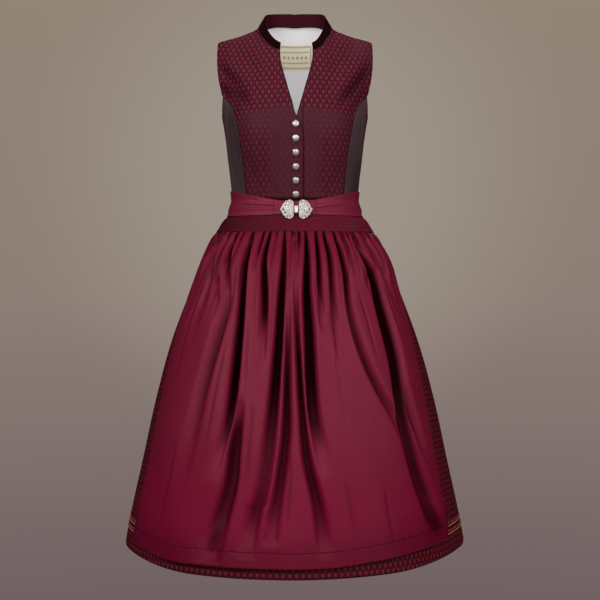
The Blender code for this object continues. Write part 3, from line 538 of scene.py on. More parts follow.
def gridMesh(name, points, flat, shade=None, parted=None, calm=None):
    # rows run from the top down, and columns from the wearer's right round the front to the left
    rows, columns = points.shape[:2]
    number = np.arange(rows * columns).reshape(rows, columns)
    quads = np.stack([number[:-1, :-1], number[1:, :-1], number[1:, 1:], number[:-1, 1:]], axis=-1)
    if parted:  # two halves side by side, whose shared edge is welded later
        quads = np.delete(quads, parted, axis=1)
    quads = quads.reshape(-1, 4)
    mesh = bpy.data.meshes.new(name)
    mesh.vertices.add(rows * columns)
    mesh.vertices.foreach_set("co", (points * mm).astype(np.float32).ravel())
    mesh.loops.add(quads.size)
    mesh.loops.foreach_set("vertex_index", quads.ravel().astype(np.int32))
    mesh.polygons.add(len(quads))
    mesh.polygons.foreach_set("loop_start", np.arange(0, quads.size, 4, dtype=np.int32))
    mesh.polygons.foreach_set("loop_total", np.full(len(quads), 4, dtype=np.int32))
    mesh.update(calc_edges=True)
    uv = mesh.uv_layers.new(name="flat")
    uv.data.foreach_set("uv", (flat.reshape(-1, 2)[quads.ravel()] * mm).astype(np.float32).ravel())
    for label, values in (("shade", shade), ("calm", calm)):
        if values is not None:
            tone = mesh.attributes.new(label, "FLOAT", "POINT")
            tone.data.foreach_set("value", np.clip(values, 0, 1).astype(np.float32).ravel())
    mesh.shade_smooth()
    return mesh


def linked(thing):
    bpy.context.scene.collection.objects.link(thing)
    return thing


def place(piece, slot, *nodes):
    # puts a finished piece on the frame in the place of its CAD nodes
    linked(piece)
    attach(piece, "root")
    if nodes:
        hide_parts(*nodes)
    return piece


def welded(piece):
    weld = piece.modifiers.new("weld", "WELD")
    weld.merge_threshold = 0.01 * mm
    return piece


def walled(piece, wall):
    # gives the sheet a thickness in millimetres, turned inwards
    shell = piece.modifiers.new("wall", "SOLIDIFY")
    shell.thickness, shell.offset = wall * mm, -1.0
    return shell


def clothShell(
    name, points, flat, finish, slot, nodes,
    shade=None, calm=None, inside=None, wall=cloth["shell"], parted=None,
):
    # a thin sheet whose outer side is the grid
    mesh = gridMesh(name, points, flat, shade, parted, calm)
    mesh.materials.append(finishes[finish])
    if inside:
        mesh.materials.append(finishes[inside])
    piece = bpy.data.objects.new(name, mesh)
    if parted:
        welded(piece)
    shell = walled(piece, wall)
    if inside:
        shell.material_offset = 1
    return place(piece, slot, *nodes)


def flatArea(points):
    # the sheet's own area in square metres
    across = points[1:, 1:] - points[:-1, :-1]
    down = points[1:, :-1] - points[:-1, 1:]
    return float(np.linalg.norm(np.cross(across, down), axis=-1).sum() / 2) * mm * mm


def nearLine(x, z, start, end):
    # distance from a straight line between two (x, z) points, and the share along it
    span = np.array(end, float) - np.array(start, float)
    length = np.hypot(*span)
    along = ((x - start[0]) * span[0] + (z - start[1]) * span[1]) / length ** 2
    away = ((x - start[0]) * span[1] - (z - start[1]) * span[0]) / length
    return away, along


bodice = {
    "overlapFrom": 13, "overlapMore": 6.0, "vShift": 3.0, "raise": 2.6, "reach": 26.0, "ramp": 14.0,
    "rows": 110, "columns": 64, "backColumns": 40, "sideRows": 70, "sideColumns": 34,
}
armholeEnd, neckEnd, backNeckEnd = 10, 7, 6
# Rows of each front: x and level of its inner edge, angle and height of its outer edge
frontRows = (
    (75, 43, 69.5, 43), (74, 41.5, 69.4, 41.5), (72.5, 37, 69.3, 37), (70, 28, 69.2, 28),
    (67, 12, 69.0, 12), (53.5, -19, 68.8, -12), (40, -34, 68.5, -35), (32, -39, 68.2, -55),
    (30.5, -58, 67.7, -75), (24, -87, 67.0, -95), (12.8, -128, 66.0, -115), (6.8, -150, 59.0, -130),
    (0, -174, 54.0, -143), (-8, -196, 50.5, -168), (-8, -220, 48.3, -205), (-8, -250, 46.3, -245),
    (-8, -289, 46.5, -287), (-8, -329.2, 46.5, -329.2),
)
# Rows of half the back: x and level of the neck and the centre line, angle and height of its outer edge
backRows = (
    (75, 43, 110.5, 43), (73.5, 42.3, 110.6, 41.5), (69, 41.3, 110.8, 37), (60, 38.8, 110.9, 28),
    (45, 36.1, 111.0, 12), (25, 33.9, 111.2, -12), (0, 33.4, 111.5, -35), (0, 18, 112.0, -55),
    (0, -8, 112.5, -75), (0, -40, 113.3, -95), (0, -74, 115.0, -115), (0, -100, 121.0, -130),
    (0, -126, 127.0, -143), (0, -160, 139.0, -168), (0, -202, 147.0, -205), (0, -245, 150.0, -245),
    (0, -287, 151.0, -287), (0, -329.2, 152.0, -329.2),
)
armholeUnder = ((24.5, -115), (19, -136), (13, -150), (6.5, -159), (0, -162))  # angle from the side, height
# Drag lines: start and end as (x, z), depth, width. They lie on the front and, softer, on the back.
dragLines = (
    ((-154, -58), (-88, -112), 3.0, 9), ((-150, -94), (-84, -150), 6.6, 10),
    ((-136, -124), (-104, -168), 2.6, 6), ((154, -62), (88, -150), 7.0, 12),
    ((150, -102), (104, -164), 3.4, 8), ((140, -126), (110, -170), 2.2, 6),
    ((-118, -20), (-60, -92), 1.4, 12), ((120, -14), (66, -84), 1.2, 12),
    ((-96, -232), (-66, -300), 1.2, 8), ((98, -238), (70, -306), 1.1, 8),
    ((-60, -262), (-34, -322), 0.9, 7), ((58, -270), (36, -322), 0.9, 7),
)
# Soft ripples up and down the side panels: angle from the side, depth, width in degrees
sideRipples = ((-24, 1.3, 3.2), (-12, 0.8, 3.0), (4, 0.3, 3.6), (17, 1.3, 3.2), (29, 0.9, 3.0))


def bodiceRelief(angle, points):
    # how far the bodice stands off its plain form
    x, y, z = points[..., 0], points[..., 1], points[..., 2]
    soft = np.where(y < cloth["sideY"], 1.0, 0.2)
    relief = np.zeros_like(x)
    for start, end, depth, width in dragLines:
        away, along = nearLine(x, z, start, end)
        fade = riseAndFall(-0.12, 0.18, 0.72, 1.15, along)
        relief -= depth * trough(away, width) * fade * soft
        relief += 0.45 * depth * trough(away - 1.7 * width, 1.2 * width) * fade * soft
    signed = np.abs(angle) - 90.0
    under = smoothStep(-120, -175, z) * (1 - 0.4 * smoothStep(-250, -320, z))
    under = under * (1 - smoothStep(36, 46, np.abs(signed)))
    for at, depth, width in sideRipples:
        drift = 3.0 * np.sin(z / 47.0 + at)
        relief -= depth * trough(signed - at - drift, width) * under
    return relief


def dragShade(x, z):
    # painted shade along the lower side of the deeper drag lines
    shade = np.zeros_like(x)
    for start, end, depth, width in dragLines:
        away, along = nearLine(x, z, start, end)
        fade = riseAndFall(-0.05, 0.25, 0.65, 1.1, along)
        shade = np.maximum(shade, min(0.075 * depth, 0.5) * trough(away, 0.9 * width, 2.0) * fade)
    return shade


# Where a greyish sheen is painted on the weave: below an arc over the bust, and on the left shoulder
paintedSheenLook = {
    "arc": -155.0, "fall": 15.0, "reach": 105.0, "middle": (36, 72), "under": (44, 20), "side": (94, 116),
    "shoulder": (132, -26), "spread": (30, 26), "strength": 0.75,
}


def paintedSheen(x, z):
    look = paintedSheenLook
    wide = np.abs(x)
    arc = look["arc"] - look["fall"] * (wide / look["reach"]) ** 2
    middle = 1 - smoothStep(*look["middle"], wide)
    under = smoothStep(arc - look["under"][0], arc - look["under"][1], z)
    below = smoothStep(arc + 3, arc - 5, z) * np.maximum(np.maximum(middle, 0.9 * under), 0.42)
    (atX, atZ), (wideX, wideZ) = look["shoulder"], look["spread"]
    shoulder = look["strength"] * np.exp(-((x - atX) / wideX) ** 2 - ((z - atZ) / wideZ) ** 2)
    return np.maximum(below * (1 - smoothStep(*look["side"], wide)), shoulder)


def fine(stops, rows):
    # the stops of an edge, as (angle, row) pairs, drawn out to more rows
    last = len(stops) - 1
    return drawnOut(stops, np.arange(last + 1), np.linspace(0, last, rows))


def frontEdge(side):
    shift, more = (bodice["vShift"], 0.0) if side == "left" else (-bodice["vShift"], bodice["overlapMore"])
    edge = []
    for number, (x, level, _, _) in enumerate(frontRows):
        row = rowAtHeight(level)
        x = x - more * smoothStep(bodice["overlapFrom"] - 1, bodice["overlapFrom"] + 1, number)
        x += shift * smoothStep(neckEnd - 3, neckEnd, number)
        edge.append((float(angleAt(x, row)), float(row)))
    return edge


def outerEdge(rows):
    return [(angle, float(rowAtHeight(height))) for _, _, angle, height in rows]


def backEdge():
    edge = []
    for x, level, _, _ in backRows:
        row = rowAtHeight(level)
        edge.append((180 - float(angleAt(x, row)), float(row)))
    return edge


# Lengths over the torso from the front centre or the back centre, and down from the bust line
lengthAngles = np.linspace(0, 180, 361)
lengthRows = np.linspace(0, waistRow, 261)
lengthGrid = torsoPoint(*np.meshgrid(lengthAngles, lengthRows))
acrossLengths = runLengths(lengthGrid, axis=1)
downLengths = runLengths(lengthGrid)
bustLevel = int(np.argmin(np.abs(torso["height"](lengthRows) - bust["height"])))
downLengths -= downLengths[bustLevel]


def lookUp(table, angle, row):
    # the table's value between its four nearest entries
    a = np.clip(angle / 180 * (len(lengthAngles) - 1), 0, len(lengthAngles) - 1.001)
    r = np.clip(row / waistRow * (len(lengthRows) - 1), 0, len(lengthRows) - 1.001)
    i, j = np.floor(r).astype(int), np.floor(a).astype(int)
    u, v = a - j, r - i
    above = table[i, j] * (1 - u) + table[i, j + 1] * u
    below = table[i + 1, j] * (1 - u) + table[i + 1, j + 1] * u
    return above * (1 - v) + below * v


def torsoFlat(angle, row, origin):
    # flat coordinates on the cut cloth: across from the panel's grain line, and up
    side = np.where(angle > 180, -1.0, 1.0) * np.sign(angle)
    turn = fromFront(angle)
    across = lookUp(acrossLengths, turn, row) - lookUp(acrossLengths, np.full_like(turn, origin), row)
    return np.stack([across * side, -lookUp(downLengths, turn, row)], axis=-1)


# Painted shade along seams, edges and stitch lines, and a painted shadow beside the edge that laps over
edgeLook = {
    "seamTone": 0.8, "edgeDip": 0.7, "edgeTone": 0.85, "stitchIn": 3.4, "stitchDip": 0.35, "stitchTone": 0.4,
    "lapAt": 15.5,
}


def torsoPanel(
    name, grid, origin, nodes, seams, mirror=False, extra=None, edges=(), parted=None, finish="jacquard",
):
    # grid is an array of (angle, row); seams name the sides that dip towards a neighbour
    look = edgeLook
    angle, row = grid[..., 0], grid[..., 1]
    base = torsoPoint(angle, row)
    out = np.full(angle.shape, cloth["wall"])
    if extra is not None:
        out = out + extra(base)
    width, depth = runLengths(base, axis=1), runLengths(base)
    reaches = {"right": width, "left": width[:, -1:] - width, "top": depth, "bottom": depth[-1:] - depth}
    relief = bodiceRelief(angle, base)
    if "top" in seams:  # the armhole's edge is held taut
        relief = relief * (1 - 0.85 * trough(reaches["left"], 13, 2.0))
    out = out + relief
    x, z = base[..., 0] * (-1 if mirror else 1), base[..., 2]
    front = base[..., 1] < cloth["sideY"]
    shade = dragShade(x, z) * np.where(front, 1.0, 0.5)
    # the painted sheen, on the front only
    calm = paintedSheen(x, z) * front
    # painted shade over the bust, where the sheen is painted
    shade = np.maximum(shade, 0.24 * calm * smoothStep(-245, -200, z) * (z < -100))
    for side in seams:
        out = out - cloth["seamDip"] * trough(reaches[side], cloth["seamWidth"], 2.0)
        shade = np.maximum(shade, look["seamTone"] * trough(reaches[side], 1.5, 2.0))
    for side in edges:
        stitched = trough(reaches[side] - look["stitchIn"], 0.5, 2.0)
        out = out - look["edgeDip"] * trough(reaches[side], 0.8, 2.0) - look["stitchDip"] * stitched
        shade = np.maximum(shade, look["stitchTone"] * stitched)
        shade = np.maximum(shade, look["edgeTone"] * trough(reaches[side], 2.0, 2.0))
    if extra is None and "top" in seams:  # painted shadow: the left front lies dark along the edge that laps over it
        lap = trough(x - look["lapAt"], 1.8, 2.0) * smoothStep(-140, -160, z)
        shade = np.maximum(shade, look["seamTone"] * lap * front)
    points = base + torsoNormal(angle, row) * out[..., None]
    flat = torsoFlat(angle, row, origin)
    if mirror:
        points, flat, shade, calm = mirrored(points), flat[:, ::-1] * (-1, 1), shade[:, ::-1], calm[:, ::-1]
    piece = clothShell(name, points, flat, finish, "jacquard", nodes, shade, calm, "lining", parted=parted)
    cutOf(flat)
    flatArea(points)


def cutOf(flat):
    # the size of the cloth that a panel is cut from, in metres
    size = (flat.reshape(-1, 2).max(axis=0) - flat.reshape(-1, 2).min(axis=0)) * mm
    return tuple(float(v) for v in size)


def ruledGrid(inner, outer, shares):
    return inner[:, None] + (outer - inner)[:, None] * shares[None, :, None]


def overlapRaise(base):
    near = 1 - smoothStep(bodice["reach"], bodice["reach"] + bodice["ramp"], base[..., 0])
    return bodice["raise"] * near * smoothStep(-112, -150, base[..., 2])


def buildFronts():
    outer = fine(outerEdge(frontRows), bodice["rows"])
    shares = spacing(bodice["columns"])
    for side in ("left", "right"):
        grid = ruledGrid(fine(frontEdge(side), bodice["rows"]), outer, shares)
        right = side == "right"
        torsoPanel(
            f"frontPanel_{side}", grid, 0, [f"bodice_front_{side}"], ("left", "top"), mirror=right,
            extra=overlapRaise if right else None, edges=("right",),
        )


def buildSidePanels():
    rows, columns = bodice["sideRows"], bodice["sideColumns"]
    across, down = np.linspace(0, 1, columns)[None, :, None], np.linspace(0, 1, rows)[:, None, None]
    for front in (True, False):
        sign, table = (-1, frontRows) if front else (1, backRows)
        princess = fine(outerEdge(table)[armholeEnd:], rows)
        top = [(90 + sign * away, float(rowAtHeight(height))) for away, height in armholeUnder]
        top[0] = tuple(princess[0])
        top = fine(top, columns)
        side = np.stack([np.full(rows, 90.0), np.linspace(top[-1][1], princess[-1][1], rows)], axis=-1)
        bottom = princess[-1] + (side[-1] - princess[-1]) * across[0]
        corners = (1 - down) * ((1 - across) * top[0] + across * top[-1])
        corners = corners + down * ((1 - across) * bottom[0] + across * bottom[-1])
        grid = (1 - down) * top[None] + down * bottom[None]
        grid = grid + (1 - across) * princess[:, None] + across * side[:, None] - corners
        if not front:
            grid = grid[:, ::-1]
        end = "front" if front else "back"
        for name in ("left", "right"):
            torsoPanel(
                f"sidePanel_{end}_{name}", grid, 90, [f"bodice_side_{end}_{name}"], ("left", "right"),
                mirror=name == "right", edges=("top",), finish="sideCloth",
            )


def wholeBack(rows, columns, trim=0.0):
    # the back from its right outer edge round to its left one, as (angle, row)
    inner = fine(backEdge(), rows)
    inner[:, 0] = np.where(inner[:, 0] > 179.4, 180.0, inner[:, 0])
    left = ruledGrid(fine(outerEdge(backRows), rows), inner, spacing(columns) * (1 - trim) + trim)
    right = left[:, ::-1].copy()
    right[..., 0] = 360 - right[..., 0]
    return np.concatenate([left, right], axis=1)


def buildBack():
    columns = bodice["backColumns"]
    grid = wholeBack(bodice["rows"], columns)
    torsoPanel("backPanel", grid, 180, ["bodice_back"], ("left", "right", "top"), parted=columns - 1)


lining = {"rows": 90, "columns": 40, "trim": 0.015, "depth": 1.5, "wall": 0.6}


def buildLining():
    # its last row is left out, so that it ends just above the skirt's top
    grid = wholeBack(lining["rows"], lining["columns"], lining["trim"])[:-1]
    grid[0] = grid[0] + (grid[1] - grid[0]) * 0.5
    angle, row = grid[..., 0], grid[..., 1]
    base = torsoPoint(angle, row)
    x, z = base[..., 0], base[..., 2]
    wave = 0.5 * np.sin(x / 23.0 + 1.0) * smoothStep(0, -60, z) + 0.35 * np.sin(x / 11.0 + z / 37.0)
    points = base - torsoNormal(angle, row) * (lining["depth"] + wave * 0.5)[..., None]
    flat = torsoFlat(angle, row, 180)
    piece = clothShell(
        "backLining", points, flat, "lining", "lining", ["lining_back"],
        wall=lining["wall"], parted=lining["columns"] - 1,
    )
    cutOf(flat)
    flatArea(points)


def buildLabel():
    look = labelLook
    x = np.linspace(-look["wide"] / 2, look["wide"] / 2, look["columns"])
    z = np.linspace(look["top"], look["top"] - look["tall"], look["rows"])
    x, row = np.meshgrid(x, rowAtHeight(z))
    angle = 180 - angleAt(-x, row)
    flat = np.stack(np.meshgrid(x[0], z - z.mean()), axis=-1)
    edge = np.minimum(look["wide"] / 2 - np.abs(flat[..., 0]), look["tall"] / 2 - np.abs(flat[..., 1]))
    lift = look["depth"] + 0.5 * smoothStep(2.4, 1.4, edge) + 0.25 * np.sin(x / 9.0)
    points = (torsoPoint(angle, row) - torsoNormal(angle, row) * lift[..., None])[:, ::-1]
    flat = flat[:, ::-1]
    piece = clothShell("neckLabel", points, flat, "label", "label", ["neck_label"], wall=look["wall"])
    look["wide"] * mm
    look["tall"] * mm


# Stand collar, from its front end round to the back centre: share, rise, lean in, lean back, seat
collarStops = (
    (0.0, 18, 1, 4, 0.8), (0.1, 19, 4, 5, 0.8), (0.2, 21, 7, 5, 0.9), (0.35, 24.5, 11, 4, 1.1),
    (0.44, 28.6, 13.2, 3.2, 1.2), (0.51, 32, 13.6, 2, 1.3), (0.58, 35.4, 13.4, 0.9, 1.4),
    (0.65, 34.7, 11.5, 0.1, 1.7), (0.72, 31.3, 9.2, 0, 1.9), (0.8, 28.1, 6.9, 0, 2.1),
    (0.88, 27.6, 4.0, 0.4, 2.3), (0.94, 28.3, 2, 0.7, 2.45), (1.0, 28.4, 0, 1, 2.6),
)
collarCut = {
    "drop": 1.6, "bow": 0.8, "around": 70, "up": 18, "wall": 2.2, "spread": 4.2, "edge": 0.8, "edgeAngle": 50,
}


def collarHalf(side):
    # it stands on the neck seam, from the front's edge over the shoulder to the back centre
    angle, row = np.array(frontEdge(side)[neckEnd::-1] + backEdge()[1:backNeckEnd + 1]).T
    points, normals = torsoPoint(angle, row), torsoNormal(angle, row)
    lengths = runLengths(points)
    t = np.linspace(0, lengths[-1], collarCut["around"])
    seam, up = drawnOut(points, lengths, t), drawnOut(normals, lengths, t)
    inward = np.cross(up, np.gradient(seam, axis=0))
    inward[:, 2] = 0
    inward = unit(inward)
    share = t / t[-1]
    rise, leanIn, leanBack, seat = (curve(share) for curve in curvesOf(collarStops))
    foot = seam + inward * seat[:, None] - (0, 0, collarCut["drop"])
    foot[-1, 0] = 0
    top = foot + np.stack([-leanIn, leanBack, rise], axis=-1)
    spread = collarCut["spread"] * riseAndFall(0.0, 0.06, 0.55, 0.85, share)
    foot = foot - inward * spread[:, None] - np.stack([0 * spread, 0 * spread, 0.42 * spread], axis=-1)
    rows = []
    for v in np.linspace(1, 0, collarCut["up"]):
        bow = collarCut["bow"] * 4 * v * (1 - v) * (1 - share)
        rows.append(foot + (top - foot) * v + np.stack([bow, 0 * bow, 0 * bow], axis=-1))
    return np.array(rows)[:, ::-1]


def buildCollar():
    right, left = mirrored(collarHalf("right")), collarHalf("left")
    points = np.concatenate([right[:, :-1], left], axis=1)[:, ::-1]
    around = runLengths(points[-1])
    tall = float(np.linalg.norm(points[0] - points[-1], axis=-1).max())
    up = np.linspace(0, tall, points.shape[0])
    flat = np.stack(np.meshgrid(around, up), axis=-1)
    piece = clothShell(
        "collarStand", points, flat, "velvet", "velvet", ["collar"],
        inside="velvetPaintedLit", wall=collarCut["wall"],
    )
    soft = piece.modifiers.new("edge", "BEVEL")
    soft.width, soft.segments = collarCut["edge"] * mm, 3
    soft.angle_limit = math.radians(collarCut["edgeAngle"])
    flatArea(points)


buildFronts()
buildSidePanels()
buildBack()
buildLining()
buildLabel()
buildCollar()
print("bodice ready")

skirtFolds = {
    "gathers": 22, "gatherDepth": 3.6, "folds": 9, "foldDepth": 11.0, "from": 84.0, "full": 104.0,
    "aboveShare": 0.75, "fineGathers": 66, "fineDepth": 1.3,
}
# Longer creases between the broad folds: angle, top, bottom, depth, width in degrees, drift in degrees
skirtCreases = (
    (97, -370, -620, 5.0, 1.7, 2.5), (106, -390, -760, 6.0, 1.9, -2.0), (118, -372, -560, 5.5, 1.6, 3.0),
    (127, -400, -840, 5.0, 2.0, 1.5), (139, -368, -690, 6.5, 1.7, -3.0), (151, -380, -590, 5.0, 1.5, 2.0),
    (160, -410, -880, 5.5, 2.1, -1.5), (169, -370, -640, 6.0, 1.6, 1.0), (181, -375, -720, 6.5, 1.8, -2.5),
    (190, -395, -560, 5.0, 1.6, 2.0), (201, -370, -820, 5.5, 2.0, 2.5), (212, -385, -640, 6.0, 1.7, -1.5),
    (224, -372, -740, 5.0, 1.8, 3.0), (236, -400, -600, 5.5, 1.6, -2.0), (247, -370, -860, 6.0, 2.0, 1.0),
    (259, -385, -660, 5.0, 1.7, -2.5),
)
tuckHeights = (-965.0, -979.0)
cord = {"radius": 1.0, "out": 0.9, "stitchRadius": 0.42, "stitchOut": 0.95, "stitchAbove": 5.2}
skirtTop, skirtHem = -327.5, -1015.0
apronEdges = (  # z, then the angles of the right and the left edge
    (-398, -85, 85), (-440, -82, 81), (-520, -76, 72), (-620, -69, 66), (-720, -66, 63), (-1015, -66, 62),
)


def apronAngles(z):
    levels, right, left = np.array(apronEdges, float).T
    return np.interp(-z, -levels, right), np.interp(-z, -levels, left)


def acrossBack(angle):
    # 0 at the left side seam, and 1 at the right one by way of the back
    return (np.mod(angle, 360.0) - 90.0) / 180.0


def skirtGather(angle, z):
    share = smoothStep(skirtFolds["from"], skirtFolds["full"], fromFront(angle))
    around = acrossBack(angle)
    fineness = skirtFolds["gatherDepth"] * riseAndFall(-352, -384, -430, -640, z)
    fullShare = skirtFolds["aboveShare"] + (1 - skirtFolds["aboveShare"]) * smoothStep(-700, skirtHem, z)
    broad = skirtFolds["foldDepth"] * smoothStep(-380, -600, z) * fullShare
    drift = 0.10 * np.sin(7.0 * around + 1.2) + 0.05 * np.sin(17.0 * around)
    small = np.cos(2 * np.pi * skirtFolds["gathers"] * around)
    large = np.cos(2 * np.pi * skirtFolds["folds"] * (around + 0.25 * drift) + 3 * drift)
    return share * (fineness * small + broad * large * (0.8 + 2.0 * drift))


def skirtRelief(angle, z):
    # creases and fine gathers on top of the main folds
    share = smoothStep(80, 96, fromFront(angle))
    around = acrossBack(angle)
    warp = around + 0.004 * np.sin(31 * around) + 0.003 * np.sin(53 * around + 2)
    ruffle = np.abs(np.sin(np.pi * skirtFolds["fineGathers"] * warp)) ** 0.7 - 0.6
    relief = share * skirtFolds["fineDepth"] * ruffle * riseAndFall(-331, -345, -390, -560, z)
    positive = np.mod(angle, 360.0)
    for at, top, bottom, depth, width, drift in skirtCreases:
        along = (z - top) / (bottom - top)
        centre = at + drift * along
        fade = riseAndFall(-0.02, 0.10, 0.55, 1.05, along)
        away = (positive - centre) / (width * (1 + 0.9 * np.clip(along, 0, 1)))
        relief = relief - depth * trough(away, 1.0, 1.7) * fade
        relief = relief + 0.35 * depth * trough(away - 2.1, 1.5, 2.0) * fade
    return relief


def skirtPoint(angle, z, out):
    # the skirt's surface, moved outwards by out
    sizes = skirtSizes(angle, z)
    outward = levelOutward(angle, sizes)
    flare = np.sum((skirtRing(angle, z - 1) - skirtRing(angle, z + 1)) * outward, axis=-1) / 2
    stand = out * np.hypot(1, flare) + skirtGather(angle, z)
    return skirtRing(angle, z) + outward * stand[..., None]


def underApron(angle, z):
    # how far inside the apron's edges a place on the skirt lies, eased from 0 to 1
    right, left = apronAngles(z)
    inside = np.minimum(angle - right, left - angle)
    return smoothStep(3.0, 12.0, inside) * riseAndFall(-395, -440, -880, -955, z)


# The stitch line above the hem, the hem's rise at both sides, the tucks' laps, and where the skirt gives way,
# with the painted shade at the stitch line, the seams and under the laps
hemLook = {
    "stitchAbove": 64.0, "stitch": 0.4, "rise": 13.0, "lap": 0.9, "radius": 200.0,
    "seamDip": 0.7, "edgeDip": 0.8, "underApron": 13.0,
    "seamTone": 0.5, "stitchTone": 0.35, "lapTone": 0.75, "lapLow": 3.2,
    "slip": 2.0, "slipFrom": -332.0, "slipFull": -330.4, "rows": 168,
}


def sideRise(angle, z):
    # the hem and its cords hang a little higher at both sides
    turn = fromFront(angle)
    share = smoothStep(32, 74, turn) * smoothStep(150, 104, turn)
    return hemLook["rise"] * share * smoothStep(-850, -970, z)


def skirtShell(name, start, end, columns, crowd, nodes):
    angles = start + (end - start) * spacing(columns, crowd)
    look = hemLook
    levels = skirtTop + (skirtHem - skirtTop) * np.linspace(0, 1, look["rows"]) ** 0.92
    levels = np.sort(np.append(levels, (look["slipFull"], look["slipFrom"])))[::-1]
    angle, z = np.meshgrid(angles, levels)
    out = cloth["wall"] + skirtRelief(angle, z) - look["underApron"] * underApron(angle, z)
    # its top slips inside the bodice
    out = out - look["slip"] * smoothStep(look["slipFrom"], look["slipFull"], z)
    for level in tuckHeights:  # each tuck laps down over the cloth below its cord
        out = out + look["lap"] * riseAndFall(7, 5.5, -1.5, -2.4, z - level)
    hemStitch = trough(z - skirtHem - look["stitchAbove"], 0.7, 2.0)
    out = out - look["stitch"] * hemStitch - look["edgeDip"] * trough(z - skirtHem, 1.2, 2.0)
    seam = np.radians(np.minimum(angle - start, end - angle)) * look["radius"]
    out = out - look["seamDip"] * trough(seam, 1.8, 2.0)
    points = skirtPoint(angle, z + sideRise(angle, z), out)
    along = -runLengths(points)
    across = runLengths(points[-1])
    flat = np.stack([np.broadcast_to(across, along.shape), along - along[-1:].mean()], axis=-1)
    # painted shade along the hem's stitch line and the seams
    shade = look["stitchTone"] * hemStitch + look["seamTone"] * trough(seam, 1.0, 2.0)
    for level in tuckHeights:  # and its lower edge throws a shadow
        shade = np.maximum(shade, look["lapTone"] * trough(z - level + look["lapLow"], 1.3, 2.0))
    piece = clothShell(name, points, flat, "skirtCloth", "jacquard", nodes, shade)
    flatArea(points)


def skirtWallRing(z, out):
    # a line round the skirt, on the same folds
    angles = np.linspace(-90, 270, 721)[:-1]
    return skirtPoint(angles, z + sideRise(angles, z), np.full_like(angles, out))


def tubeThrough(name, points, radius, finish, closed=True, sides=2):
    curve = bpy.data.curves.new(name, "CURVE")
    curve.dimensions = "3D"
    curve.bevel_depth = radius * mm
    curve.bevel_resolution = sides
    curve.use_fill_caps = True
    line = curve.splines.new("POLY")
    line.points.add(len(points) - 1)
    line.points.foreach_set("co", np.concatenate([points * mm, np.ones((len(points), 1))], axis=1).ravel())
    line.use_cyclic_u = closed
    line.use_smooth = True
    curve.materials.append(finishes[finish])
    return bpy.data.objects.new(name, curve)


def buildSkirt():
    skirtShell("skirtFront", -90, 90, 172, 0.6, ["skirt_front"])
    skirtShell("skirtBack_left", 90, 180, 150, 0.0, ["skirt_back_left"])
    skirtShell("skirtBack_right", 180, 270, 150, 0.0, ["skirt_back_right"])
    for name, node, z in zip(("cordUpper", "cordLower"), ("piping_upper", "piping_lower"), tuckHeights):
        ring = skirtWallRing(z, cloth["wall"] + cord["out"])
        place(tubeThrough(name, ring, cord["radius"], "piping"), "piping", node)
        line = skirtWallRing(z + cord["stitchAbove"], cloth["wall"] + cord["stitchOut"])
        place(tubeThrough(name + "Stitch", line, cord["stitchRadius"], "piping", sides=1), "piping")


buildSkirt()
print("skirt ready")

apron = {
    "rest": 4.9, "restTop": 3.2, "swell": 18.0, "crown": 3.0,
    "gatherDepth": 6.6, "hipEase": 8.0, "inset": 12.0,
    "top": -392.5, "bottom": -995.0, "leftRise": 20.0, "rightRise": 12.0, "corner": 18.0, "hem": 27.0,
    "sideHem": 8.2, "width": 660.0, "topWidth": 470.0, "columns": 300, "rows": 155, "measured": -20,
    "rowShares": (0, 0.26, 0.84, 0.92, 1), "rowDrops": (0, 0.10, 0.945, 0.962, 1),
}
